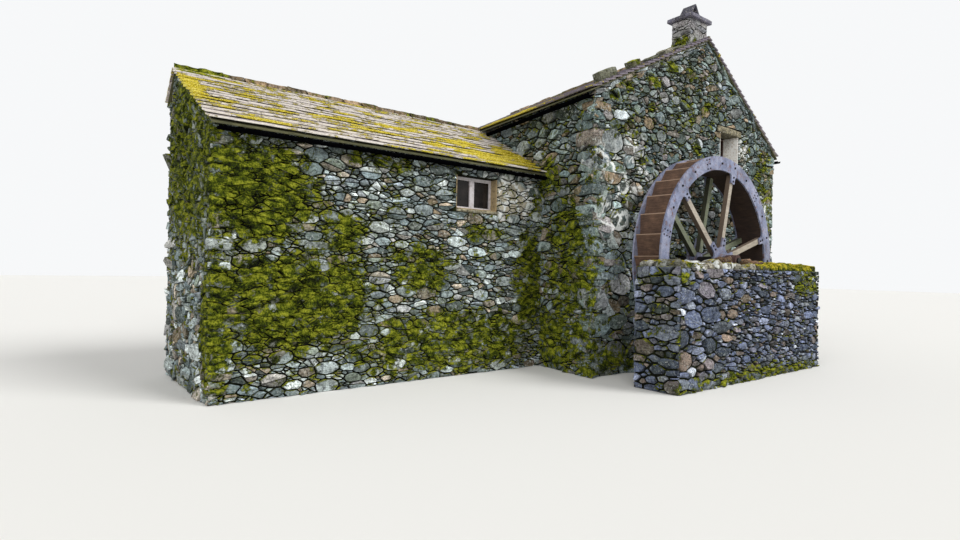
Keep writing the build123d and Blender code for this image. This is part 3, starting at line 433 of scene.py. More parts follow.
def stone_cells(outline, holes, seeds, joint, stretch, spare, rng):
    """Splits an outline into one convex cell for each stone, a joint apart, clear of the holes."""
    sides = edges_of(outline)
    hole_sides = [edges_of(h) for h in holes]
    kept = []
    for u, v, reach in seeds:
        outside = any(nu * u + nv * v > d + 0.03 for nu, nv, d in sides)
        if outside or any(all(nu * u + nv * v < d + 0.01 for nu, nv, d in hs) for hs in hole_sides):
            continue
        kept.append((u, v, reach))
    points = np.array(kept)
    scaled = points[:, :2] * (1.0, stretch)
    weight = points[:, 2] ** 2
    cells = []
    for i, (u, v, reach) in enumerate(kept):
        away = ((scaled - scaled[i]) ** 2).sum(1) - weight
        near = np.argsort(away) if len(kept) < 34 else np.argpartition(away, 30)[:30]
        far = reach * 3.0
        gap = joint * rng.uniform(0.5, 1.5) / 2
        poly = rect(u - far, u + far, v - far, v + far)
        for j in near[near != i]:
            du, dv = points[j, 0] - u, (points[j, 1] - v) * stretch ** 2
            size = math.hypot(du, dv)
            middle = (du * (points[j, 0] + u) + dv * (points[j, 1] + v) + weight[i] - weight[j]) / 2 / size
            poly = clip(poly, du / size, dv / size, middle - gap)
        for nu, nv, d in sides:
            poly = clip(poly, nu, nv, d + (0.0 if nv < -0.9 else spare))
        for hole, hs in zip(holes, hole_sides):
            if not poly:
                break
            u0, u1, v0, v1 = box_of(poly)
            hu0, hu1, hv0, hv1 = box_of(hole)
            if u0 < hu1 and u1 > hu0 and v0 < hv1 and v1 > hv0:
                nu, nv, d = max(hs, key=lambda s: s[0] * u + s[1] * v - s[2])
                poly = clip(poly, -nu, -nv, -(d + joint / 2))
        if len(poly) < 3:
            continue
        u0, u1, v0, v1 = box_of(poly)
        if u1 - u0 > 0.025 and v1 - v0 > 0.018:
            cells.append(poly)
    return cells


def flake(poly, joint, rng, chance):
    """Breaks some cells into flatter stones along a line near their bedding."""
    u0, u1, _, _ = box_of(poly)
    if u1 - u0 < 0.07 or rng.random() > chance:
        return [poly]
    cu, cv = middle_of(poly)
    turn = rng.gauss(0, 0.5)
    nu, nv = -math.sin(turn), math.cos(turn)
    middle = nu * cu + nv * cv + rng.uniform(-0.015, 0.015)
    gap = joint * rng.uniform(0.15, 0.5)
    halves = clip(poly, nu, nv, middle - gap), clip(poly, -nu, -nv, -middle - gap)
    return [part for half in halves if len(half) > 2 for part in flake(half, joint, rng, chance * 0.35)]


class Heap:
    """Gathers many small shapes into one mesh, with its tone, shade, edge, depth, moss and lime maps."""

    def __init__(self):
        self.points, self.faces, self.tones, self.shades, self.edges, self.depths = [], [], [], [], [], []
        self.count, self.pieces = 0, 0

    def put(self, points, faces, tone, edge=0.0, depth=1.0):
        self.points.append(np.asarray(points, float))
        self.faces.extend(tuple(self.count + k for k in f) for f in faces)
        self.tones.extend([tone] * len(faces))
        self.shades.extend([self.pieces * 0.618034 % 1.0] * len(faces))
        self.edges.extend(edge if isinstance(edge, list) else [edge] * len(faces))
        self.depths.extend(depth if isinstance(depth, list) else [depth] * len(points))
        self.count += len(points)
        self.pieces += 1

    def build(self, name, material, smooth=None, moss=None, lime=None, body="building", node=None):
        """Makes the piece, which stands for a CAD node where one is named."""
        points = np.concatenate(self.points)
        mesh = bpy.data.meshes.new(name)
        mesh.from_pydata(points.tolist(), [], self.faces)
        layout = points - np.array(BASE)
        if moss is not None:
            swell_moss(mesh, points, moss(layout))
        maps = [("tone", "FACE", self.tones), ("shade", "FACE", self.shades), ("edge", "FACE", self.edges),
                ("depth", "POINT", self.depths)]
        for label, field in (("moss", moss), ("lime", lime)):
            maps.append((label, "POINT", np.zeros(len(points)) if field is None else field(layout)))
        for label, domain, values in maps:
            mesh.attributes.new(label, "FLOAT", domain).data.foreach_set("value", values)
        made = bpy.data.objects.new(name, mesh)
        bpy.context.scene.collection.objects.link(made)
        mesh.materials.append(finishes()[material])
        finish_piece(made, body, smooth)
        if node:
            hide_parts(node)


def swell_moss(mesh, points, cover):
    """Swells a mesh where its moss is thick, so that the moss lies in cushions over the joints."""
    normals = np.zeros(len(points) * 3)
    mesh.vertex_normals.foreach_get("vector", normals)
    normals = normals.reshape(-1, 3)
    thick = np.clip((cover - 0.66) / 0.3, 0, 1)
    for k in np.nonzero(thick > 0)[0]:
        spot = Vector(points[k])
        lump = noise.noise(spot * 6.5) + 0.6 * noise.noise(spot * 15.0)
        points[k] += normals[k] * thick[k] * (0.012 + 0.034 * max(-0.3, lump))
    points[:, 2] = np.maximum(points[:, 2], BASE.z)
    mesh.vertices.foreach_set("co", points.ravel())
    mesh.update()


def finish_piece(made, body, smooth):
    """Smooths a piece by angle and lets it ride on its body."""
    deselect()
    made.select_set(True)
    bpy.context.view_layer.objects.active = made
    if smooth is None:
        bpy.ops.object.shade_smooth()
    else:
        bpy.ops.object.shade_smooth_by_angle(angle=math.radians(smooth))
    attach(made, body)
    deselect()


def deselect():
    bpy.ops.object.select_all(action="DESELECT")


def zones(*spots, floor=0.0):
    """A soft map over the layout: each spot is (x, y, z, reach x, reach y, reach z, strength)."""
    def field(points):
        value = np.full(len(points), floor)
        for x, y, z, rx, ry, rz, strength in spots:
            away = np.sqrt((((points - (x, y, z)) / (rx, ry, rz)) ** 2).sum(1))
            value = np.maximum(value, strength * np.clip(1.6 - away * 1.1, 0, 1))
        return value
    return field


def round_corners(poly, rng, share):
    """Knocks each corner off a stone's outline."""
    made = []
    for i, (u, v) in enumerate(poly):
        pu, pv = poly[i - 1]
        nu, nv = poly[(i + 1) % len(poly)]
        a, b = rng.uniform(*share), rng.uniform(*share)
        made.append((u + (pu - u) * a, v + (pv - v) * a))
        made.append((u + (nu - u) * b, v + (nv - v) * b))
    return made


def side_faces(size, rings):
    """The quads between rings of points that follow one another, each with as many points."""
    return [(k + m, k + (m + 1) % size, k + size + (m + 1) % size, k + size + m)
            for k in range(0, size * (rings - 1), size) for m in range(size)]


def lay_stone(heap, face, poly, proud, rng, tone, roundness, tilt):
    """One stone over a cell: sides that rise from the bedding, a worn shoulder and a split face."""
    u0, u1, _, _ = box_of(poly)
    wide = u1 - u0
    low, high = 0.02 + 0.2 * roundness, 0.1 + 0.34 * roundness
    rim = round_corners(poly, rng, (low, high)) if wide > 0.07 else poly
    count = len(rim)
    cu, cv = middle_of(rim)
    lean_u, lean_v = rng.gauss(0, tilt), rng.gauss(0, tilt)
    shoulder = rng.uniform(0.004, 0.012) + 0.02 * roundness
    points, depths = [], []
    # The depth map runs from 0 at the bedding to 1 at the crown; the stone finish paints shade by it.
    for level, inset, depth in ((-0.02, 0.0, 0.0), (proud, shoulder, 0.92)):
        for u, v in rim:
            du, dv = cu - u, cv - v
            reach = max(0.001, math.hypot(du, dv))
            slide = min(reach * 0.45, inset * rng.uniform(0.4, 1.9)) / reach
            rise = level
            if inset:
                rise = max(0.002, level + lean_u * (u - cu) + lean_v * (v - cv) + rng.gauss(0, 0.0032))
            points.append((u + du * slide, v + dv * slide, rise))
            depths.append(depth)
    tu, tv = cu + rng.uniform(-0.22, 0.22) * wide, cv + rng.uniform(-0.1, 0.1) * wide
    crown = proud + lean_u * (tu - cu) + lean_v * (tv - cv) + rng.uniform(-0.004, 0.003 + 0.05 * wide)
    points.append((tu, tv, max(0.004, crown)))
    depths.append(1.0)
    faces = side_faces(count, 2)
    faces += [(count + k, count + (k + 1) % count, 2 * count) for k in range(count)]
    heap.put(face.world(points), faces, tone, 0.0, depths)


def lay_wall(heap, face, outline, stone, seed, joint, holes=(), proud=(0.008, 0.04), stretch=1.7,
             roundness=0.06, tilt=0.2, spare=0.02, tones=None, flakes=0.0, growth=None):
    """Covers a wall's face with random rubble."""
    rng = random.Random(seed)
    seeds = rubble_seeds(box_of(outline), stone, rng, stretch, growth)
    for cell in stone_cells(outline, holes, seeds, joint, stretch, spare, rng):
        for poly in flake(cell, joint, rng, flakes):
            tone = rng.random() if tones is None else rng.choice(tones)
            lay_stone(heap, face, poly, rng.uniform(*proud), rng, tone, roundness, tilt)


def rect(u0, u1, v0, v1):
    """A counterclockwise rectangle."""
    return [(u0, v0), (u1, v0), (u1, v1), (u0, v1)]


def block_template():
    """A cube cut three times on each side, as points and faces, for worn blocks."""
    deselect()
    bpy.ops.mesh.primitive_cube_add(size=2)
    cube = bpy.context.object
    bpy.ops.object.mode_set(mode="EDIT")
    bpy.ops.mesh.select_all(action="SELECT")
    bpy.ops.mesh.subdivide(number_cuts=3)
    bpy.ops.object.mode_set(mode="OBJECT")
    points = np.array([v.co for v in cube.data.vertices])
    faces = [tuple(p.vertices) for p in cube.data.polygons]
    bpy.data.objects.remove(cube)
    return np.sign(points) * np.abs(points) ** 0.62, faces


TEMPLATE = block_template()


def worn_block(heap, centre, half, rng, tone, radius=0.03, lump=0.012, axes=None, freq=7.0, askew=0.0,
               seams=False):
    """A stone block with worn arrises, corners a little out of square and a lumpy skin."""
    points, faces = TEMPLATE
    half = np.array(half)
    radius = min(radius, half.min() * 0.9)
    scaled = points * half
    core = np.clip(scaled, -(half - radius), half - radius)
    out = scaled - core
    size = np.linalg.norm(out, axis=1, keepdims=True)
    scaled = core + out / np.maximum(size, 1e-9) * np.minimum(size, radius)
    if askew:
        for corner in itertools.product((-1, 1), repeat=3):
            share = np.prod((1 + points * corner) / 2, axis=1, keepdims=True)
            scaled = scaled + share * (half * [rng.uniform(-askew, askew * 0.4) * c for c in corner])
    shift = Vector((rng.uniform(0, 90), rng.uniform(0, 90), rng.uniform(0, 90)))
    lumps = np.array([noise.noise_vector(Vector(p) * freq + shift) for p in scaled])
    lumps += 0.45 * np.array([noise.noise_vector(Vector(p) * freq * 2.7 + shift) for p in scaled])
    scaled = scaled + lumps * np.minimum(lump, half * 0.35)
    if axes is not None:
        scaled = scaled @ np.array(axes)
        if np.linalg.det(np.array(axes)) < 0:
            faces = [f[::-1] for f in faces]
    # With seams, depth falls towards the top and bottom faces, where the stone finish paints shade in the bed
    # joints.
    depths = (1.0 - np.clip((np.abs(points[:, 2]) - 0.7) / 0.3, 0, 1) * 0.9).tolist() if seams else 1.0
    heap.put(scaled + np.array(centre) + np.array(BASE), faces, tone, 0.0, depths)


def corner_stones(heap, corner, a, b, courses, seed, proud=0.022):
    """Long stones that bind two walls at a corner, each (bottom, top, reach along a, reach along b)."""
    rng = random.Random(seed)
    a, b = Vector(a), Vector(b)
    for bottom, top, reach_a, reach_b in courses:
        out = proud * rng.uniform(1.3, 2.4)
        middle = Vector((corner[0], corner[1], (bottom + top) / 2))
        middle += a * (reach_a - out) / 2 + b * (reach_b - out) / 2
        half = ((reach_a + out) / 2, (reach_b + out) / 2, (top - bottom) / 2 - 0.001)
        worn_block(heap, middle, half, rng, rng.random(), 0.04, 0.026, (a, b, UP), 5.0, 0.16, True)


def random_courses(height, seed, low=0.12, high=0.3, spread=(0.3, 0.5, 0.18, 0.28)):
    """Corner stones that turn their long side to one wall and then to the other."""
    rng = random.Random(seed)
    courses, z, turn = [], 0.0, 0
    while z < height - 0.08:
        rise = min(rng.uniform(low, high), height - z)
        long, short = rng.uniform(*spread[:2]), rng.uniform(*spread[2:])
        courses.append((z, z + rise, long if turn else short, short if turn else long))
        z += rise
        turn = rng.choice((0, 1, 1 - turn))
    return courses


NEAR_CORNER = [
    (0.0, 0.38, 0.55, 0.35), (0.38, 0.72, 0.35, 0.5), (0.72, 1.12, 0.5, 0.3), (1.12, 1.66, 0.46, 0.45),
    (1.66, 1.82, 0.7, 0.3), (1.82, 1.9, 0.26, 0.3), (1.9, 2.05, 0.84, 0.28), (2.05, 2.17, 0.24, 0.4),
    (2.17, 2.38, 0.36, 0.45), (2.38, 2.6, 0.55, 0.25), (2.6, 2.72, 0.26, 0.42), (2.72, 2.98, 0.38, 0.42),
    (2.98, 3.1, 0.5, 0.25), (3.1, 3.34, 0.34, 0.45), (3.34, 3.56, 0.5, 0.26), (3.56, 3.66, 0.22, 0.36),
    (3.66, 3.95, 0.46, 0.33), (3.95, 4.28, 0.34, 0.45), (4.28, 4.4, 0.52, 0.22), (4.4, 4.58, 0.3, 0.36),
    (4.58, 4.76, 0.42, 0.3)]
FAR_CORNER = random_courses(4.5, 5)
REAR_LEFT_CORNER = random_courses(4.7, 6)
REAR_RIGHT_CORNER = random_courses(4.5, 7)
WING_FRONT_CORNER = random_courses(3.55, 8, 0.08, 0.2, (0.2, 0.34, 0.12, 0.2))
WING_BACK_CORNER = random_courses(4.2, 9, 0.08, 0.2, (0.2, 0.34, 0.12, 0.2))

REAR_X = side_x(MILL_LENGTH)
SIDE_LENGTH = MILL_LENGTH / math.cos(SKEW)
GABLE = Face((0, 0, 0), EAST)
LEFT = Face((REAR_X, MILL_LENGTH, 0), FORWARD)
RIGHT = Face((MILL_WIDTH, 0, 0), BACKWARD)
REAR = Face((REAR_X + MILL_WIDTH, MILL_LENGTH, 0), WEST)
WING_FRONT = Face((-WING_LENGTH, WING_FRONT_Y, 0), EAST)
WING_END = Face((-WING_LENGTH, WING_BACK_Y, 0), SOUTH)
WING_BACK = Face((side_x(WING_BACK_Y), WING_BACK_Y, 0), WEST)


def tint(name, description, code):
    """A colour that a user may change."""
    return bpy.props.FloatVectorProperty(name=name, description=description, default=colour(code), size=4,
                                         min=0.0, max=1.0, subtype="COLOR")


def distance(name, description, default, low, high):
    """A length that a user may change."""
    return bpy.props.FloatProperty(name=name, description=description, default=default, min=low, max=high,
                                   subtype="DISTANCE", unit="LENGTH")


def share(name, description, default):
    """A part of the whole that a user may change."""
    return bpy.props.FloatProperty(name=name, description=description, default=default, min=0.0, max=1.0,
                                   subtype="FACTOR")


class WatermillStone(bpy.types.PropertyGroup):
    stone: distance("Stone size", "Usual width of a wall stone", 0.17, 0.1, 0.5)
    joint: distance("Joint", "Open joint between wall stones", 0.008, 0.004, 0.05)
    moss: share("Moss", "How much of the masonry is under moss", 0.5)
    dark_stone: tint("Dark Stone", "Darkest stones of the walls", "#39424a")
    grey_stone: tint("Grey Stone", "Commonest stones of the walls", "#758189")
    pale_stone: tint("Pale Stone", "Palest stones of the walls", "#adb6bb")
    brown_stone: tint("Brown Stone", "Warm stones among the grey", "#75644f")
    moss_colour: tint("Moss", "Moss on the walls", "#67760f")
    moss_tips: tint("Moss Tips", "Lit tips of the moss on the walls", "#c4c83c")


class WatermillSlate(bpy.types.PropertyGroup):
    gauge: distance("Slate gauge", "Height of slate that each course shows", 0.175, 0.1, 0.4)
    width: distance("Slate width", "Usual width of a slate", 0.3, 0.15, 0.6)
    thickness: distance("Slate thickness", "Thickness of a slate's edge", 0.025, 0.005, 0.05)
    moss: share("Moss", "How much of the slates is under moss", 0.5)
    slate_colour: tint("Slate", "Commonest slates", "#9b9196")
    # The wing's slate tails: bleached, and painted pale as a highlight of their lit edges.
    tail_highlight_colour: tint("Slate Edge", "Bleached tails of the slates", "#e9e2d8")
    moss_colour: tint("Slate Moss", "Moss on the slates", "#ecd940")


class WatermillWheel(bpy.types.PropertyGroup):
    bolt: distance("Bolt", "Width of a bolt head on the rims", 0.036, 0.01, 0.06)
    iron_colour: tint("Iron", "Chalky skin of the cast iron", "#7b83a0")
    rust_colour: tint("Rust", "Rust that bleeds through the iron", "#674131")
    bucket_colour: tint("Buckets", "Wet bucket boards", "#5f4636")
    spoke_colour: tint("Spokes", "Silvered front spokes", "#a39a8c")


class WatermillFittings(bpy.types.PropertyGroup):
    gutter_colour: tint("Gutters", "Gutter paint", "#040406")
    wing_window_colour: tint("Wing Window", "Paint of the wing's window", "#d3cdd0")
    gable_window_colour: tint("Gable Window", "Paint of the gable windows", "#3f2a24")
    limewash_colour: tint("Limewash", "Limewash in the openings", "#f2f1ec")
    door_colour: tint("Door", "Planks of the door", "#47302a")


def finishes():
    """The materials, made once and shared."""
    if "earth_bedding" in bpy.data.materials:
        return bpy.data.materials
    scene = bpy.context.scene
    stone, slate = scene.watermill_stone, scene.watermill_slate
    wheel, fittings = scene.watermill_wheel, scene.watermill_fittings
    dark, grey, pale, brown = stone.dark_stone, stone.grey_stone, stone.pale_stone, stone.brown_stone
    slates = [(0.0, "#cdc3bb"), (0.3, "#bbb0ae"), (0.6, slate.slate_colour), (1.0, "#776e76")]
    bedding_finish()
    iron_finish()
    glass_finish()
    for make, rows in (
        (stone_finish, (
            ("gable_fieldstone", [
                (0.0, dark), (0.14, "#56676a"), (0.3, grey), (0.44, "#8a9b9c"), (0.56, "#636f68"),
                (0.68, pale), (0.78, "#817b7e"), (0.86, brown), (0.93, "#93806c"), (1.0, "#667280")],
             stone.moss, 0.95),
            ("wing_fieldstone", [
                (0.0, "#525c60"), (0.16, "#76848a"), (0.34, "#9aa6a8"), (0.52, "#cbd2d2"), (0.66, "#828d83"),
                (0.78, "#95a0ac"), (0.88, "#8d7b66"), (0.94, "#b5aa9c"), (1.0, "#8f9398")], stone.moss, 0.9),
            ("pit_cobble", [
                (0.0, "#2b313f"), (0.2, "#4a526b"), (0.4, "#676f8b"), (0.54, "#888fa6"), (0.66, "#5f5b66"),
                (0.8, "#6d5e54"), (0.9, "#586179"), (1.0, "#b4bac4")], stone.moss - 0.1, 0.7),
            ("coping_stone", [(0.0, "#6d6a63"), (0.5, "#8a877f"), (1.0, "#6a6256")], stone.moss, 1.0, 0.35,
             slate.moss_colour),
            ("stack_stone", [(0.0, "#85848a"), (0.5, "#948f90"), (1.0, "#7a7c84")], stone.moss - 0.2, 0.4,
             0.1),
            ("verge_stone", [(0.0, "#4c3f36"), (0.5, "#6f6e66"), (1.0, "#8d8b7c")], stone.moss - 0.1, 0.5),
            ("ridge_sandstone", [(0.0, "#57483a"), (0.5, "#77634e"), (1.0, "#867260")], stone.moss, 0.5),
            ("lintel_sandstone", [(0.0, "#a79d84"), (1.0, "#b3a98e")], stone.moss - 0.45, 0.6, 0.2),
            ("bearing_stone", [(0.0, "#5d4535"), (1.0, "#6f5542")], stone.moss - 0.25, 0.3),
            ("flag_stone", [(0.0, "#5f5c56"), (1.0, "#767169")], 0.0, 0.2))),
        (slate_finish, (
            ("wing_slate", slates, slate.moss, slate.tail_highlight_colour, "X"),
            ("mill_slate", slates, slate.moss, "#6f6873", "Y"),
            ("cap_slate", [(0.0, "#5b5a66"), (0.5, "#73717f"), (1.0, "#4a4953")], 0.1, "#8b8290"))),
        (coat_finish, (
            ("black_gutter_paint", fittings.gutter_colour, "#141513", 0.4, 0.8, 0.0, 0.0),
            ("cream_window_paint", fittings.wing_window_colour, "#8d8371", 0.6, 0.5),
            ("brown_window_paint", fittings.gable_window_colour, "#231914", 0.6, 0.5),
            ("stained_limewash", fittings.limewash_colour, "#a08562", 0.7, 0.9),
            ("ochre_limewash", "#a3906c", "#5d4c36", 0.8, 0.9),
            ("greased_iron", "#232323", "#3d2a22", 0.6, 0.45, 0.5),
            ("bolt_iron", "#16151a", "#33231d", 0.5, 0.6, 0.0, 0.15))),
        (timber_finish, (
            # The bucket boards get a painted highlight along their lips at the rim.
            ("wet_bucket_board", [(0.32, "#1f150f"), (0.44, "#453125"), (0.55, wheel.bucket_colour),
                                  (0.7, "#80634e")], "Y", None, WHEEL_RADIUS - 0.02),
            ("dark_sole_board", [(0.3, "#180f0b"), (0.5, "#2f2019"), (0.7, "#4a372c")], "Y"),
            # The spokes' sides take painted shade.
            ("silvered_spoke", [(0.32, "#756b60"), (0.5, wheel.spoke_colour), (0.68, "#b9b0a2")], "X",
             "#86705f"),
            # The inner spokes' timber is greener from moss and darker as painted shade, a shaded copy of the
            # front spokes'.
            ("mossy_spoke", [(0.32, "#4e5443"), (0.5, "#727862"), (0.68, "#8f927c")], "X", "#7a7062"),
            ("brown_plank", [(0.3, "#2d1c16"), (0.5, fittings.door_colour), (0.7, "#5d4237")], "Z"),
            ("mossy_eaves_board", [(0.3, "#25261a"), (0.5, "#4a4a2c"), (0.7, "#6b6748")], "X"),
            ("floor_board", [(0.3, "#3e2f21"), (0.5, "#574433"), (0.7, "#6f5a44")], "X"))),
    ):
        for row in rows:
            make(*row)
    return bpy.data.materials


def dress(material, *nodes):
    """Gives CAD nodes a finish through their material slots."""
    made = finishes()[material]
    for name in nodes:
        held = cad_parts[name]
        if not held.material_slots:
            held.data.materials.append(made)
        for slot in held.material_slots:
            slot.material = made


class MILL_OT_wheel_gable(bpy.types.Operator):
    """Lays the rubble, corner stones and verge stones of the gable behind the wheel"""
    bl_idname = "watermill.wheel_gable"
    bl_label = "Wheel Gable"

    def execute(self, context):
        settings = context.scene.watermill_stone
        heap = Heap()
        holes = [rect(*GABLE_WINDOW, 3.93, 4.86), rect(3.95, 4.97, 4.84, 5.0),
                 rect(2.585, 2.785, 1.965, 2.16)]
        outline = [(0, 0), (MILL_WIDTH, 0), (MILL_WIDTH, 4.59), (RIDGE_X, 6.53), (0, 4.83)]

        def growth(u, v):
            return 1.0 + max(0.0, min(1.0, (1.3 - u) / 0.6)) * (0.9 if v < 4.2 else 0.2)

        lay_wall(heap, GABLE, outline, settings.stone, 11, settings.joint * 2.0, holes, stretch=1.5,
                 flakes=0.5, growth=growth)
        for origin, along, start, end, seed, tones in (
            ((0, 0, 4.928), (RIDGE_X, 0, 1.697), 0, 3.83, 12, (0.68, 0.95, 0.98, 0.3)),
            ((RIDGE_X, 0, 6.625), (MILL_WIDTH - RIDGE_X, 0, -1.943), 0.03, 3.55, 13, (0.5, 0.14, 0.3)),
        ):
            lay_wall(heap, Face(origin, along), rect(start, end, -0.1, -0.004), 0.26, seed, 0.008,
                     proud=(0.02, 0.05), stretch=3.4, tones=tones)
        corner_stones(heap, (0, 0), EAST, BACKWARD, NEAR_CORNER, 14)
        corner_stones(heap, (MILL_WIDTH, 0), WEST, BACKWARD, FAR_CORNER, 15)
        moss = zones(
            (2.22, 0, 5.8, 0.3, 1, 0.16, 0.85), (0.81, 0, 5.12, 0.3, 1, 0.14, 0.8),
            (1.65, 0, 5.42, 0.3, 1, 0.16, 0.85), (2.89, 0, 5.8, 0.3, 1, 0.2, 0.8),
            (3.58, 0, 5.32, 0.25, 1, 0.12, 0.75), (1.6, 0, 4.9, 0.16, 1, 0.14, 0.75),
            (3.12, 0, 4.33, 0.22, 1, 0.14, 0.8), (1.3, 0, 3.87, 0.25, 1, 0.12, 0.75),
            (2.87, 0, 5.16, 0.2, 1, 0.1, 0.75), (0.6, 0, 4.9, 0.4, 1, 0.12, 0.75),
            (0.37, 0, 4.27, 0.1, 1, 0.1, 0.7), (6.0, 0, 3.5, 0.7, 1, 1.6, 0.7),
            (0.0, 0, 1.4, 0.25, 1, 1.5, 0.7), (4.4, 0, 3.7, 0.6, 1, 0.2, 0.7),
            (0.3, 0, 0.3, 1.2, 1, 0.4, 0.8), (2.9, 0, 5.0, 1.1, 1, 0.8, 0.57),
            (0.9, 0, 4.5, 0.8, 1, 0.5, 0.57), floor=0.42)
        lime = zones(
            (0.17, 0, 3.74, 0.2, 1, 0.25, 1.0), (0.5, 0, 3.6, 0.25, 1, 0.3, 1.03),
            (1.08, 0, 4.0, 0.3, 1, 0.35, 1.03), (1.3, 0, 3.55, 0.4, 1, 0.3, 1.0),
            (0.78, 0, 3.34, 0.35, 1, 0.3, 0.97), (1.78, 0, 3.38, 0.3, 1, 0.2, 0.9),
            (0.41, 0, 2.81, 0.3, 1, 0.3, 1.0), (0.75, 0, 2.65, 0.25, 1, 0.3, 1.03),
            (5.0, 0, 4.5, 0.18, 1, 0.35, 1.15), (6.0, 0, 3.35, 0.3, 1, 0.3, 0.95))
        heap.build("wheel_gable_stones", "gable_fieldstone", 32, moss, lime)
        return {"FINISHED"}


class MILL_OT_mill_sides(bpy.types.Operator):
    """Lays the rubble of the mill house's two long sides"""
    bl_idname = "watermill.mill_sides"
    bl_label = "Mill House Sides"

    def execute(self, context):
        settings = context.scene.watermill_stone
        heap = Heap()
        front, back, ridge = (
            SIDE_LENGTH - y / math.cos(SKEW) for y in (WING_FRONT_Y, WING_BACK_Y, WING_RIDGE_Y))
        wing = [(back, -0.1), (front, -0.1), (front, 3.66), (ridge, 4.85), (back, 4.4)]
        lay_wall(heap, LEFT, rect(0, SIDE_LENGTH, 0, 4.9), settings.stone * 1.5, 21, settings.joint * 2.0,
                 [wing], stretch=1.9, flakes=0.5)
        moss = zones((0.0, 0.6, 2.0, 0.5, 0.9, 1.6, 0.8), (0.0, 1.2, 3.6, 0.5, 0.5, 0.5, 0.8),
                     (0.0, 0.9, 0.6, 0.6, 1.2, 0.8, 0.84), floor=0.48)
        heap.build("mill_left_stones", "gable_fieldstone", 32, moss)
        heap = Heap()
        holes = [rect(DOOR_START, DOOR_END, 0.13, 2.12), rect(DOOR_START - 0.11, DOOR_END + 0.11, 2.11, 2.27)]
        lay_wall(heap, RIGHT, rect(0, SIDE_LENGTH, 0, 4.65), settings.stone * 1.2, 22, settings.joint, holes)
        heap.build("mill_right_stones", "gable_fieldstone", 32, zones(floor=0.5))
        return {"FINISHED"}


class MILL_OT_rear_gable(bpy.types.Operator):
    """Lays the rubble and corner stones of the rear gable"""
    bl_idname = "watermill.rear_gable"
    bl_label = "Rear Gable"

    def execute(self, context):
        settings = context.scene.watermill_stone
        heap = Heap()
        middle = MILL_WIDTH / 2
        holes = [rect(middle - 0.38, middle + 0.38, 3.93, 4.86),
                 rect(middle - 0.49, middle + 0.49, 4.84, 5.0)]
        outline = [(0, 0), (MILL_WIDTH, 0), (MILL_WIDTH, 4.92), (MILL_WIDTH - RIDGE_X, 6.61), (0, 4.67)]
        lay_wall(heap, REAR, outline, settings.stone * 1.2, 31, settings.joint, holes)
        corner_stones(heap, (REAR_X, MILL_LENGTH), EAST, FORWARD, REAR_LEFT_CORNER, 32)
        corner_stones(heap, (REAR_X + MILL_WIDTH, MILL_LENGTH), WEST, FORWARD, REAR_RIGHT_CORNER, 33)
        heap.build("rear_gable_stones", "gable_fieldstone", 32, zones(floor=0.5))
        return {"FINISHED"}


class MILL_OT_wing_walls(bpy.types.Operator):
    """Lays the rubble of the wing's three walls"""
    bl_idname = "watermill.wing_walls"
    bl_label = "Wing Walls"

    def execute(self, context):
        settings = context.scene.watermill_stone
        heap = Heap()
        start = WING_WINDOW[0] + WING_LENGTH
        holes = [rect(start, start + 0.9, 2.79, WING_WINDOW_HEAD)]
        end = WING_LENGTH + side_x(WING_FRONT_Y)
        lay_wall(heap, WING_FRONT, rect(0, end, 0, 3.67), settings.stone * 1.1, 41, settings.joint * 1.5,
                 holes, stretch=1.9, flakes=0.5)
        width = WING_BACK_Y - WING_FRONT_Y
        outline = [(0, 0), (width, 0), (width, 3.67), (WING_BACK_Y - WING_RIDGE_Y, 4.8), (0, 4.4)]
        lay_wall(heap, WING_END, outline, settings.stone, 42, settings.joint, stretch=1.3, flakes=0.4)
        corner_stones(heap, (-WING_LENGTH, WING_FRONT_Y), EAST, NORTH, WING_FRONT_CORNER, 43)
        worn_block(heap, (-1.02, WING_FRONT_Y, 2.74), (0.11, 0.03, 0.05), random.Random(46), 0.4, 0.03, 0.02)
        moss = zones(
            (-5.1, 1.43, 2.8, 1.0, 0.6, 0.9, 1.05), (-5.65, 1.5, 1.1, 0.35, 0.4, 1.2, 0.9),
            (-5.7, 2.7, 3.4, 0.5, 1.9, 1.8, 0.9), (-3.9, 1.43, 2.3, 0.5, 0.6, 0.4, 0.9),
            (-4.6, 1.43, 1.3, 1.6, 0.6, 0.9, 0.95), (-2.5, 1.43, 1.8, 0.8, 0.6, 0.5, 0.85),
            (-1.8, 1.43, 0.6, 2.4, 0.6, 0.7, 0.85), (-0.1, 1.43, 1.6, 0.5, 0.6, 1.2, 0.9),
            (0.15, 1.43, 3.1, 0.3, 0.6, 0.4, 0.8), (-3.3, 1.43, 3.45, 0.9, 0.6, 0.15, 0.75),
            (-1.2, 1.43, 2.45, 0.6, 0.6, 0.2, 0.8), floor=0.42)
        lime = zones((-0.62, 1.43, 3.14, 0.55, 0.6, 0.42, 1.5))
        heap.build("wing_front_stones", "wing_fieldstone", 32, moss, lime)
        heap = Heap()
        end = WING_LENGTH + side_x(WING_BACK_Y)
        lay_wall(heap, WING_BACK, rect(0, end, 0, 4.4), settings.stone * 1.2, 44, settings.joint)
        corner_stones(heap, (-WING_LENGTH, WING_BACK_Y), EAST, SOUTH, WING_BACK_CORNER, 45, 0.01)
        heap.build("wing_back_stones", "wing_fieldstone", 32, zones(floor=0.55))
        return {"FINISHED"}


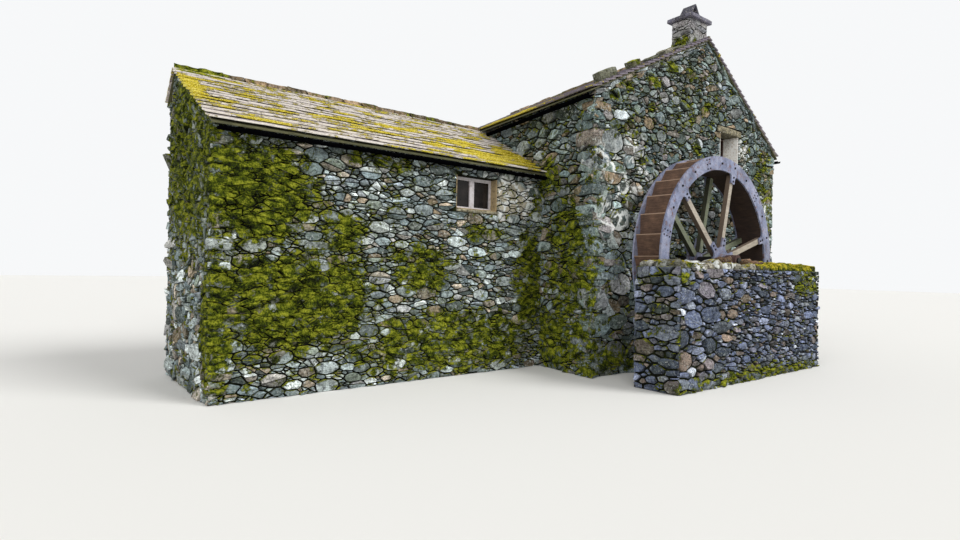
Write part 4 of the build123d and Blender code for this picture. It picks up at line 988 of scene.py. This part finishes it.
class MILL_OT_pit_walls(bpy.types.Operator):
    """Lays the cobbles and the coping of the wheel pit"""
    bl_idname = "watermill.pit_walls"
    bl_label = "Wheel Pit"

    def execute(self, context):
        settings = context.scene.watermill_stone
        stone, joint = settings.stone * 0.95, settings.joint * 2.0
        heap = Heap()
        length, depth = PIT_RIGHT_X - PIT_LEFT_X, PIT_INNER_Y - PIT_OUTER_Y
        middle = PIT_RIGHT_X - WHEEL.x

        def growth(u, v):
            return 1.0 + max(-0.15, min(0.6, (1.6 - u) / 1.6))

        cobbles, flat = {"proud": (0.01, 0.05), "roundness": 0.22, "tilt": 0.22}, {"proud": (0.006, 0.02)}
        socket = [rect(middle - 0.23, middle + 0.23, 1.84, 2.0)]
        outer = Face((PIT_LEFT_X, PIT_OUTER_Y, 0), EAST, (0, 0.06, PIT_TOP))
        lay_wall(heap, outer, rect(0, length, 0, PIT_TOP), stone, 51, joint, stretch=1.75, spare=0.0,
                 flakes=0.12, growth=growth, **cobbles)
        for x, y, along, start, end, coarse, seed, look in (
            (PIT_LEFT_X, PIT_INNER_Y, SOUTH, 0, depth, 1.3, 52, cobbles),
            (PIT_RIGHT_X, PIT_OUTER_Y, NORTH, 0, depth, 1.0, 53, {"proud": (0.003, 0.012), "spare": 0.0}),
            (PIT_RIGHT_X, PIT_INNER_Y, WEST, 0.24, length, 1.3, 54, dict(flat, holes=socket)),
            (RETURN_RIGHT_X, PIT_INNER_Y, NORTH, 0, RETURN_LENGTH, 1.3, 55, dict(flat, spare=0.0)),
            (RETURN_LEFT_X, -0.02, SOUTH, 0, RETURN_LENGTH, 1.3, 56, flat),
            (PIT_RIGHT_X, PIT_INNER_Y, EAST, 0, 0.263, 1.0, 57, dict(flat, spare=0.0)),
        ):
            lay_wall(heap, Face((x, y, 0), along), rect(start, end, 0, PIT_TOP), stone * coarse, seed, joint,
                     **look)
        top = Face((RETURN_LEFT_X, PIT_INNER_Y, PIT_TOP), EAST, NORTH)
        lay_wall(heap, top, rect(0, 0.48, 0, RETURN_LENGTH), stone * 1.8, 58, joint, stretch=1.2)
        moss = zones((4.6, -1.5, 1.7, 1.0, 0.6, 0.35, 0.8), (0.2, -1.3, 1.75, 0.35, 0.8, 0.2, 0.8),
                     (5.0, -0.6, 1.6, 0.6, 0.8, 0.5, 0.9), (2.5, -1.65, 0.0, 3.5, 0.5, 0.3, 0.8),
                     (0.0, -1.3, 0.9, 0.2, 0.6, 1.0, 0.52), floor=0.36)
        heap.build("pit_wall_stones", "pit_cobble", 36, moss)
        heap = Heap()
        rng = random.Random(59)
        x = PIT_LEFT_X
        while x < PIT_RIGHT_X - 0.1:
            wide = min(rng.uniform(0.16, 0.46), PIT_RIGHT_X - x)
            pocket = abs(x + wide / 2 - WHEEL.x) < 0.22 + wide / 2
            front, back = PIT_OUTER_Y + 0.045, -1.27 if pocket else PIT_INNER_Y
            split = (front + back) / 2 + rng.uniform(-0.12, 0.12)
            for y0, y1 in ((front, split), (split, back)):
                tall = rng.uniform(0.06, 0.15)
                worn_block(heap, (x + wide / 2, (y0 + y1) / 2, PIT_TOP - 0.03 + tall / 2),
                           (wide / 2 - 0.012, (y1 - y0) / 2, tall / 2 + 0.03), rng, rng.random(),
                           0.07, 0.04, None, 6.0, 0.16)
            x += wide
        moss = zones((3.9, -1.3, 2.0, 1.3, 1, 0.4, 1.15), (0.4, -1.3, 1.98, 0.2, 1, 0.12, 0.9),
                     (2.9, -1.0, 2.0, 0.4, 0.3, 0.3, 0.8), floor=0.42)
        lime = zones((1.1, -1.3, 2.0, 0.9, 1, 0.3, 0.95))
        heap.build("pit_coping_stones", "coping_stone", 50, moss, lime, node="pit_coping")
        heap = Heap()
        for x, y, wide, top in ((2.25, -1.14, 0.36, 2.12), (3.0, -1.12, 0.3, 2.1), (2.7, -1.42, 0.5, 2.07)):
            worn_block(heap, (x, y, top - 0.12), (wide / 2, 0.12, 0.12), rng, rng.random(), 0.06, 0.04, None,
                       7.0, 0.2)
        heap.build("bearing_stones", "bearing_stone", 50, zones(floor=0.3))
        return {"FINISHED"}


class MILL_OT_chimney(bpy.types.Operator):
    """Lays the chimney's slaty courses, its cap slabs and the two leaned slates"""
    bl_idname = "watermill.chimney"
    bl_label = "Chimney"

    def execute(self, context):
        heap = Heap()
        wide, deep = STACK_RIGHT - STACK_LEFT, STACK_BACK - STACK_FRONT
        for x, y, along, length, stone, stretch, seed in (
            (STACK_LEFT, STACK_FRONT, EAST, wide, 0.3, 1.7, 61),
            (STACK_RIGHT, STACK_FRONT, NORTH, deep, 0.22, 3.0, 62),
            (STACK_RIGHT, STACK_BACK, WEST, wide, 0.22, 3.0, 63),
            (STACK_LEFT, STACK_BACK, SOUTH, deep, 0.22, 3.2, 64),
        ):
            lay_wall(heap, Face((x, y, STACK_FOOT), along), rect(0, length, 0, 0.7), stone, seed, 0.004,
                     proud=(0.004, 0.014), stretch=stretch, roundness=0.1, tilt=0.05, spare=0.008)
        moss = zones((3.2, 0.4, 6.65, 0.3, 0.5, 0.16, 1.0), floor=0.3)
        lime = zones((3.5, 0.4, 6.9, 0.6, 0.6, 0.5, 0.25), floor=0.2)
        heap.build("chimney_stones", "stack_stone", 32, moss, lime)
        heap = Heap()
        rng = random.Random(65)
        x, y = RIDGE_X, (STACK_FRONT + STACK_BACK) / 2
        for reach, z0, z1 in ((0.08, 7.11, 7.19), (-0.09, 7.19, CAP_TOP)):
            wx, wy = wide / 2 + reach, deep / 2 + reach
            for x0, x1, y0, y1 in (
                (-wx, wx, -wy, -FLUE_HALF), (-wx, wx, FLUE_HALF, wy),
                (-wx, -FLUE_HALF, -FLUE_HALF, FLUE_HALF), (FLUE_HALF, wx, -FLUE_HALF, FLUE_HALF),
            ):
                if y1 - y0 > 0.01:
                    worn_block(heap, (x + (x0 + x1) / 2, y + (y0 + y1) / 2, (z0 + z1) / 2),
                               ((x1 - x0) / 2, (y1 - y0) / 2, (z1 - z0) / 2), rng, rng.random(), 0.012, 0.008)
        heap.build("chimney_cap_slabs", "cap_slate", node="chimney_cap")
        heap = Heap()
        lean = math.atan2(0.26, 0.175)
        c, s = math.cos(lean), math.sin(lean)
        for turn in (1, -1):
            worn_block(heap, (x - turn * 0.087, y, CAP_TOP + 0.125), (0.15, 0.145, 0.012), rng, 0.9, 0.006,
                       0.006, ((turn * c, 0, s), NORTH, (-turn * s, 0, c)))
        heap.build("chimney_hood_slates", "cap_slate", node="chimney_hood")
        return {"FINISHED"}


def lay_slates(heap, face, outline, gauge, width, thick, seed):
    """Courses of random-width slates from eaves to ridge, each course tilted over the one below."""
    rng = random.Random(seed)
    u0, u1, v0, v1 = box_of(outline)
    sides = edges_of(outline)
    v = v0
    while v < v1 - 0.03:
        rise = gauge * (1.15 - 0.4 * (v - v0) / (v1 - v0)) * rng.uniform(0.94, 1.06)
        u = u0 - rng.uniform(0, width)
        lift = rng.uniform(-0.002, 0.002)
        while u < u1 + width:
            wide = width * rng.uniform(0.6, 1.5)
            drop = rng.uniform(-0.005, 0.004)
            low = [(u + wide * t, v + drop + rng.uniform(-0.005, 0.005)) for t in (0.0, 0.3, 0.65, 1.0)]
            poly = low + [(u + wide, v + rise * 1.25), (u, v + rise * 1.25)]
            for nu, nv, d in sides:
                poly = clip(poly, nu, nv, d + (0.03 if abs(nu) > 0.5 else 0.012))
            u += wide + rng.uniform(0.003, 0.009)
            if len(poly) < 3:
                continue
            cu, cv = middle_of(poly)
            slab = thick * rng.uniform(0.85, 1.2)
            roll, tip = rng.uniform(-0.014, 0.014), rng.uniform(0.9, 1.1)
            points = []
            for level, inset in ((0, 0.0), (0.75, 0.0), (1, 0.006)):
                for pu, pv in poly:
                    t = min(1.0, (pv - v) / (rise * 1.25))
                    h = lift + slab * level + 0.044 * tip * (1 - t) - 0.048 + roll * (pu - cu)
                    reach = math.hypot(cu - pu, cv - pv)
                    points.append((pu + (cu - pu) / reach * inset, pv + (cv - pv) / reach * inset, h))
            n = len(poly)
            faces = [tuple(range(n))[::-1], tuple(range(2 * n, 3 * n))] + side_faces(n, 3)
            # Edge 1 marks the sides and tails, which the slate finish colours as bleached tails, on the wing
            # also painted pale as a highlight.
            heap.put(face.world(points), faces, 0.65 * (v - v0) / (v1 - v0) + 0.35 * rng.random(),
                     [0.0, 0.0] + [1.0] * 2 * n)
        v += rise


def roof_bed(name, node, face):
    """A copy of a CAD roof slope with its top lowered, so that the slates take its place."""
    made = bpy.data.objects.new(name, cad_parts[node].data.copy())
    bpy.context.scene.collection.objects.link(made)
    deselect()
    made.select_set(True)
    bpy.context.view_layer.objects.active = made
    bpy.ops.object.mode_set(mode="EDIT")
    bpy.ops.mesh.select_all(action="SELECT")
    bpy.ops.mesh.remove_doubles(threshold=0.0001)
    bpy.ops.object.mode_set(mode="OBJECT")
    top = face.origin + BASE
    for vertex in made.data.vertices:
        if (vertex.co - top).dot(face.n) > -0.01:
            vertex.co.z -= 0.05
    made.data.materials.clear()
    made.data.materials.append(finishes()["mossy_eaves_board"])
    finish_piece(made, "building", 30)
    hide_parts(node)


class MILL_OT_slates(bpy.types.Operator):
    """Lays the slates of the four roof slopes on their beds"""
    bl_idname = "watermill.slates"
    bl_label = "Slates"

    def execute(self, context):
        settings = context.scene.watermill_slate
        wing_moss = zones(
            (-5.72, 2.6, 4.4, 0.16, 1.1, 0.7, 0.85), (-4.9, 1.4, 3.75, 0.7, 0.12, 0.1, 0.8),
            (-3.8, 2.3, 4.2, 0.6, 0.14, 0.1, 0.75), (-3.2, 1.95, 4.0, 0.5, 0.12, 0.1, 0.8),
            (-2.4, 2.4, 4.25, 0.7, 0.14, 0.1, 0.85), (-1.9, 1.85, 3.97, 0.6, 0.14, 0.1, 0.85),
            (-1.2, 2.2, 4.15, 0.6, 0.25, 0.2, 0.8), (-1.0, 1.6, 3.85, 0.9, 0.4, 0.3, 0.82),
            (-0.15, 1.9, 4.0, 0.4, 0.8, 0.5, 0.92), floor=0.3)
        mill_moss = zones((0.3, 2.4, 5.05, 0.5, 1.6, 0.4, 0.72), floor=0.14)
        left, front, back = -WING_LENGTH - VERGE, -VERGE, MILL_LENGTH + VERGE
        for name, rise, moss, seed, corners in (
            ("wing_front", WING_RISE, wing_moss, 71, (
                (left, WING_EAVES_Y), (side_x(WING_EAVES_Y), WING_EAVES_Y),
                (side_x(WING_RIDGE_Y), WING_RIDGE_Y), (left, WING_RIDGE_Y))),
            ("wing_back", WING_BACK_RISE, zones(floor=0.42), 72, (
                (side_x(WING_BACK_EAVES_Y), WING_BACK_EAVES_Y), (left, WING_BACK_EAVES_Y),
                (left, WING_RIDGE_Y), (side_x(WING_RIDGE_Y), WING_RIDGE_Y))),
            ("mill_left", LEFT_RISE, mill_moss, 73, (
                (LEFT_EAVES_X, back), (LEFT_EAVES_X, front), (RIDGE_X, front), (RIDGE_X, back))),
            ("mill_right", RIGHT_RISE, mill_moss, 74, (
                (RIGHT_EAVES_X, front), (RIGHT_EAVES_X, back), (RIDGE_X, back), (RIDGE_X, front))),
        ):
            if name.startswith("mill"):
                flat = [Vector((side_x(y, x), y, RIDGE_TOP - rise * abs(RIDGE_X - x))) for x, y in corners]
            else:
                flat = [Vector((x, y, WING_RIDGE_TOP - rise * abs(WING_RIDGE_Y - y))) for x, y in corners]
            face = Face(flat[0], flat[1] - flat[0], flat[2] - flat[1])
            heap = Heap()
            lay_slates(heap, face, [face.local(p) for p in flat], settings.gauge, settings.width,
                       settings.thickness, seed)
            heap.build(name + "_slates", name.split("_")[0] + "_slate", 35, moss)
            roof_bed(name + "_bed", name + "_roof", face)
        return {"FINISHED"}


def ridge_row(heap, start, along, across, rise_a, rise_b, length, count, rng):
    """Angular ridge stones laid end to end, each a little out of line with the next."""
    along, across = Vector(along), Vector(across)
    pitch, depth = length / count, 0.075
    slices = (0.0, 0.06, 0.25, 0.5, 0.75, 0.94, 1.0)
    for n in range(count):
        a0, a1 = n * pitch, (n + 1) * pitch - 0.006
        lift, sway = rng.uniform(-0.004, 0.014), rng.uniform(-0.012, 0.012)
        wide = 0.17 * rng.uniform(0.88, 1.08)
        steps = (-1.0, -0.82, -0.45, -0.1, 0.0, 0.1, 0.45, 0.82, 1.0)
        lower = [(t * wide, -(rise_a if t < 0 else rise_b) * abs(t) * wide) for t in steps]
        upper = [(t * wide * 0.99, h + depth * (0.55 if abs(t) == 1.0 else 1.0 if abs(t) > 0.05 else 0.9))
                 for t, h in lower][::-1]
        ring = lower + upper
        points = []
        for t in slices:
            shrink = 0.96 if t in (0.0, 1.0) else 1.0
            for p, h in ring:
                middle = -0.3 * abs(p) + depth / 2
                spot = (Vector(start) + along * (a0 + (a1 - a0) * t) + across * (p * shrink + sway)
                        + Vector((0, 0, middle + (h - middle) * shrink + lift)))
                points.append(spot + noise.noise_vector(spot * 9.0) * 0.013 + BASE)
        size = len(ring)
        last = (len(slices) - 1) * size
        faces = [tuple(range(size)), tuple(range(last, last + size))[::-1]]
        faces += [f[:1] + f[:0:-1] for f in side_faces(size, len(slices))]
        if along.cross(across).z < 0:
            faces = [f[::-1] for f in faces]
        heap.put(points, faces, rng.random())


class MILL_OT_ridge_stones(bpy.types.Operator):
    """Beds the sandstone ridge stones and the loose slabs on the verge"""
    bl_idname = "watermill.ridge_stones"
    bl_label = "Ridge Stones"

    def execute(self, context):
        rng = random.Random(81)
        heap = Heap()
        length = side_x(WING_RIDGE_Y - 0.17, LEFT_EAVES_X) + WING_LENGTH + VERGE
        ridge_row(heap, (-WING_LENGTH - VERGE, WING_RIDGE_Y, WING_RIDGE_TOP), EAST, NORTH, WING_RISE,
                  WING_BACK_RISE, length, 17, rng)
        moss = zones((-5.4, 3.6, 4.95, 0.5, 1, 0.3, 0.9), floor=0.42)
        heap.build("wing_ridge_row", "ridge_sandstone", 50, moss, node="wing_ridge_stones")
        heap = Heap()
        start = (side_x(STACK_BACK, RIDGE_X), STACK_BACK + 0.005, RIDGE_TOP)
        length = (MILL_LENGTH + VERGE - STACK_BACK) / math.cos(SKEW)
        ridge_row(heap, start, BACKWARD, EAST, LEFT_RISE, RIGHT_RISE, length, 13, rng)
        heap.build("mill_ridge_row", "ridge_sandstone", 50, zones(floor=0.42),
                   node="mill_ridge_stones")
        heap = Heap()
        slope = math.atan(LEFT_RISE)
        c, s = math.cos(slope), math.sin(slope)
        for x, wide, deep, thick, turn, tone in (
            (0.36, 0.25, 0.1, 0.17, -0.05, 0.9), (1.14, 0.2, 0.09, 0.14, 0.25, 0.1),
            (1.66, 0.16, 0.1, 0.07, 0.1, 0.5), (2.1, 0.18, 0.11, 0.1, 0.15, 0.3),
            (2.55, 0.16, 0.12, 0.06, 0.0, 0.6),
        ):
            y, z = 0.08, RIDGE_TOP - LEFT_RISE * (RIDGE_X - x) + thick / 2 + 0.01
            axes = ((c * math.cos(turn), math.sin(turn), s * math.cos(turn)),
                    (-c * math.sin(turn), math.cos(turn), -s * math.sin(turn)), (-s, 0, c))
            worn_block(heap, (side_x(y, x), y, z), (wide, deep, thick / 2), rng, tone, 0.02, 0.02, axes, 7.0,
                       0.15)
        moss = zones((1.0, 0.1, 5.6, 0.3, 0.4, 0.3, 0.8), floor=0.5)
        heap.build("verge_slabs", "verge_stone", 50, moss)
        return {"FINISHED"}


def reveal_liner(name, material, x0, x1, z0, z1, y0, y1):
    """Limewash on the sides and the sill of an opening, trowelled on and uneven."""
    deselect()
    made = []
    for a, b, c, d in ((x0, x0 + 0.014, z0, z1), (x1 - 0.014, x1, z0, z1), (x0, x1, z0, z0 + 0.014)):
        middle = place((a + b) / 2, (y0 + y1) / 2, (c + d) / 2)
        bpy.ops.mesh.primitive_cube_add(size=1, location=middle, scale=(b - a, y1 - y0, d - c))
        bpy.ops.object.transform_apply(location=True, rotation=True, scale=True)
        made.append(bpy.context.object)
    for part in made:
        part.select_set(True)
    bpy.ops.object.join()
    whole = bpy.context.object
    whole.name = name
    bpy.ops.object.mode_set(mode="EDIT")
    bpy.ops.mesh.select_all(action="SELECT")
    bpy.ops.mesh.subdivide(number_cuts=5)
    bpy.ops.object.mode_set(mode="OBJECT")
    for vertex in whole.data.vertices:
        lump = noise.noise_vector(vertex.co * 11.0) * 0.004
        vertex.co += Vector((lump.x, 0, lump.z))
    whole.data.materials.append(finishes()[material])
    finish_piece(whole, "building", 40)


class MILL_OT_openings(bpy.types.Operator):
    """Sets lintels, the wing's sill and the limewashed reveals"""
    bl_idname = "watermill.openings"
    bl_label = "Lintels and Reveals"

    def execute(self, context):
        rng = random.Random(91)
        for node in ("gable_window_lintel", "rear_window_lintel", "wing_window_sill", "door_lintel"):
            low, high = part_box(node)
            half = (high - low) / 2
            axes = None
            if node == "door_lintel":
                half.x = 0.15
                half.y /= math.cos(SKEW)
                axes = (EAST, BACKWARD, UP)
            heap = Heap()
            worn_block(heap, (low + high) / 2 - BASE, half, rng, rng.random(), 0.02, 0.01, axes, 5.0)
            heap.build(node + "_stone", "lintel_sandstone", 50, node=node)
        reveal_liner("gable_window_reveal", "stained_limewash", *GABLE_WINDOW, GABLE_WINDOW_SILL,
                     GABLE_WINDOW_HEAD, -0.005, 0.33)
        reveal_liner("wing_window_reveal", "ochre_limewash", *WING_WINDOW, WING_WINDOW_SILL, WING_WINDOW_HEAD,
                     1.425, 1.58)
        return {"FINISHED"}


class MILL_OT_woodwork(bpy.types.Operator):
    """Paints the windows and lays the door's planks and the floors"""
    bl_idname = "watermill.woodwork"
    bl_label = "Windows, Door and Floors"

    def execute(self, context):
        dress("cream_window_paint", "wing_window_frame")
        dress("brown_window_paint", "gable_window_frame", "rear_window_frame")
        dress("dusty_window_glass", "gable_window_glass", "rear_window_glass", "wing_window_glass")
        dress("floor_board", "loft_floor", "wing_floor")
        dress("flag_stone", "ground_floor")
        dress("earth_bedding", "wheel_gable_wall", "rear_gable_wall", "left_side_wall", "right_side_wall",
              "wing_front_wall", "wing_back_wall", "wing_end_wall", "pit_wall", "pit_return_wall",
              "chimney_stack")
        rng = random.Random(95)
        face = Face((MILL_WIDTH - 0.26, 0, 0), BACKWARD)
        start, width, planks = DOOR_START + 0.004, DOOR_END - DOOR_START - 0.008, 6
        heap = Heap()
        for k in range(planks):
            middle = face.world([(start + width * (k + 0.5) / planks, 1.135, -0.018)])[0] - np.array(BASE)
            worn_block(heap, middle, (width / planks / 2 - 0.002, 0.98, 0.022), rng, rng.random(), 0.006,
                       0.002, face.axes)
        heap.build("door_planks", "brown_plank", 40, node="plank_door")
        heap = Heap()
        for u, v, out, half, radius in ((0.4, 0.45, 0.008, (0.38, 0.022, 0.004), 0.002),
                                        (0.4, 1.8, 0.008, (0.38, 0.022, 0.004), 0.002),
                                        (0.84, 1.05, 0.014, (0.012, 0.07, 0.01), 0.008)):
            middle = face.world([(start + u, v, out)])[0] - np.array(BASE)
            worn_block(heap, middle, half, rng, 0.5, radius, 0.0, face.axes)
        heap.build("door_ironwork", "greased_iron", 40)
        return {"FINISHED"}


class MILL_OT_gutters(bpy.types.Operator):
    """Paints the gutters"""
    bl_idname = "watermill.gutters"
    bl_label = "Gutters"

    def execute(self, context):
        dress("black_gutter_paint", "wing_gutter", "mill_left_gutters", "mill_right_gutter")
        return {"FINISHED"}


def bolt_head(width):
    """A square-shouldered hexagon head that points along -Y, as points and faces."""
    deselect()
    bpy.ops.mesh.primitive_cylinder_add(vertices=6, radius=width / 2, depth=width * 0.7,
                                        rotation=(math.pi / 2, 0, 0))
    bolt = bpy.context.object
    bpy.ops.object.transform_apply(location=True, rotation=True, scale=True)
    bpy.ops.object.modifier_add(type="BEVEL")
    bolt.modifiers[-1].width = width * 0.1
    bolt.modifiers[-1].segments = 1
    bpy.ops.object.modifier_apply(modifier=bolt.modifiers[-1].name)
    points = np.array([v.co for v in bolt.data.vertices])
    faces = [tuple(p.vertices) for p in bolt.data.polygons]
    bpy.data.objects.remove(bolt)
    return points, faces


class MILL_OT_wheel_iron(bpy.types.Operator):
    """Weathers the wheel's iron and bolts its rims, stubs and hubs"""
    bl_idname = "watermill.wheel_iron"
    bl_label = "Wheel Ironwork"

    def execute(self, context):
        dress("weathered_cast_iron", "outer_shroud", "inner_shroud", "outer_hub", "inner_hub")
        dress("greased_iron", "wheel_shaft", "inner_bearing")
        dress("brown_plank", "outer_bearing")
        points, faces = bolt_head(context.scene.watermill_wheel.bolt)
        heap = Heap()
        rng = random.Random(101)
        middle = (WHEEL_RADIUS + SHROUD_INNER) / 2
        spots = []
        for n in range(SPOKES):
            spoke = math.radians(SPOKE_PHASE + n * 60)
            seam = spoke + math.radians(30)
            for radius in (SHROUD_INNER + 0.045, middle, WHEEL_RADIUS - 0.045):
                for side in (-1, 1):
                    spots.append((radius, seam + side * 0.045 / radius, 0.85))
            for turn in (-15, 15):
                spots.append((middle, spoke + math.radians(turn), 1.25))
            spots.append((middle + 0.02, spoke, 1.25))
            for radius in (SHROUD_INNER - 0.045, SHROUD_INNER - 0.125, 0.3, 0.395):
                spots.append((radius, spoke, 1.15))
        for radius, turn, size in spots:
            x, z = radius * math.cos(turn), radius * math.sin(turn)
            for y, way in ((WHEEL_FRONT_Y, 1), (WHEEL_BACK_Y, -1)):
                spin = rng.uniform(0, 1)
                c, s = math.cos(spin), math.sin(spin)
                turned = points @ np.array(((c, 0, s), (0, way, 0), (-s, 0, c))) * size
                order = faces if way == 1 else [f[::-1] for f in faces]
                heap.put(turned + np.array(place(WHEEL.x + x, y, WHEEL.z + z)), order, rng.random())
        heap.build("wheel_bolts", "bolt_iron", 30, body="wheel")
        return {"FINISHED"}


class MILL_OT_wheel_timber(bpy.types.Operator):
    """Gives the wheel's spokes, sole boards and buckets their timber"""
    bl_idname = "watermill.wheel_timber"
    bl_label = "Wheel Timber"

    def execute(self, context):
        dress("silvered_spoke", "outer_spokes")
        # The inner spokes are painted darker and greener: moss, and painted shade.
        dress("mossy_spoke", "inner_spokes")
        dress("dark_sole_board", "sole_boards")
        dress("wet_bucket_board", "buckets")
        return {"FINISHED"}


class MILL_OT_studio(bpy.types.Operator):
    """Sets the pale floor, the soft lights and the camera"""
    bl_idname = "watermill.studio"
    bl_label = "Floor, Lights and Camera"

    def execute(self, context):
        deselect()
        bpy.ops.mesh.primitive_plane_add(size=160, location=(0, 0, -0.002))
        floor = bpy.context.object
        floor.name = "studio_floor"
        paint = new_material("studio_floor_paint")[1]
        paint.inputs["Base Color"].default_value = colour("#e9e8e4")
        paint.inputs["Roughness"].default_value = 0.9
        floor.data.materials.append(bpy.data.materials["studio_floor_paint"])
        for name, strength, spread, turn in (("key", 2.2, 30, (52, 0, 28)), ("fill", 1.5, 60, (60, 0, -62))):
            bpy.ops.object.light_add(type="SUN", rotation=[math.radians(a) for a in turn])
            lamp = bpy.context.object
            lamp.name = name + "_light"
            lamp.data.energy = strength
            lamp.data.angle = math.radians(spread)
        world = context.scene.world or bpy.data.worlds.new("studio_sky")
        context.scene.world = world
        world.use_nodes = True
        tree = world.node_tree
        tree.nodes.clear()
        path = add(tree, "LightPath").node.outputs
        seen = add(tree, "Math", {0: path["Is Camera Ray"], 1: path["Is Glossy Ray"]}, operation="MAXIMUM")
        seen = add(tree, "Math", {0: seen, 1: path["Is Transmission Ray"]}, operation="MAXIMUM")
        lit = add(tree, "Background", {"Color": (1, 1, 1, 1), "Strength": 0.42})
        white = add(tree, "Background", {"Color": (0.93, 0.94, 0.95, 1), "Strength": 1.0})
        add(tree, "OutputWorld", {0: add(tree, "MixShader", {0: seen, 1: lit, 2: white})})
        yaw, pitch, roll = (math.radians(a) for a in (YAW, PITCH, ROLL))
        right = Vector((math.cos(yaw), -math.sin(yaw), 0))
        ahead = Vector((math.sin(yaw) * math.cos(pitch), math.cos(yaw) * math.cos(pitch), math.sin(pitch)))
        up = right.cross(ahead)
        across = right * math.cos(roll) + up * math.sin(roll)
        rise = up * math.cos(roll) - right * math.sin(roll)
        turn = Matrix((across, rise, -ahead)).transposed().to_4x4()
        bpy.ops.object.camera_add()
        camera = bpy.context.object
        camera.matrix_world = Matrix.Translation(place(*EYE)) @ turn
        camera.data.sensor_width = SENSOR
        camera.data.lens = LENS_PIXELS / PHOTO_PIXELS * SENSOR
        camera.data.clip_end = 300
        context.scene.camera = camera
        context.scene.view_settings.view_transform = "Standard"
        deselect()
        return {"FINISHED"}


class MILL_PT_panel(bpy.types.Panel):
    """Lists the watermill's sizes and the steps that build it"""
    bl_idname = "MILL_PT_panel"
    bl_label = "Watermill"
    bl_space_type = "VIEW_3D"
    bl_region_type = "UI"
    bl_category = "Watermill"

    def draw(self, context):
        for group in GROUPS:
            settings = getattr(context.scene, group)
            for key in settings.__annotations__:
                self.layout.prop(settings, key)
        for step in STEPS:
            self.layout.operator(step.bl_idname)


GROUPS = {"watermill_stone": WatermillStone, "watermill_slate": WatermillSlate,
          "watermill_wheel": WatermillWheel, "watermill_fittings": WatermillFittings}
STEPS = (MILL_OT_wheel_gable, MILL_OT_mill_sides, MILL_OT_rear_gable, MILL_OT_wing_walls, MILL_OT_pit_walls,
         MILL_OT_chimney, MILL_OT_slates, MILL_OT_ridge_stones, MILL_OT_openings, MILL_OT_woodwork,
         MILL_OT_gutters, MILL_OT_wheel_iron, MILL_OT_wheel_timber, MILL_OT_studio)


def register():
    for kind in (*GROUPS.values(), *STEPS, MILL_PT_panel):
        bpy.utils.register_class(kind)
    for name, kind in GROUPS.items():
        setattr(bpy.types.Scene, name, bpy.props.PointerProperty(type=kind))


def unregister():
    for name in GROUPS:
        delattr(bpy.types.Scene, name)
    for kind in (MILL_PT_panel, *STEPS[::-1], *GROUPS.values()):
        bpy.utils.unregister_class(kind)


def main():
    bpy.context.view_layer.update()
    register()
    for step in STEPS:
        group, name = step.bl_idname.split(".")
        getattr(getattr(bpy.ops, group), name)()


if __name__ == "__main__":
    main()
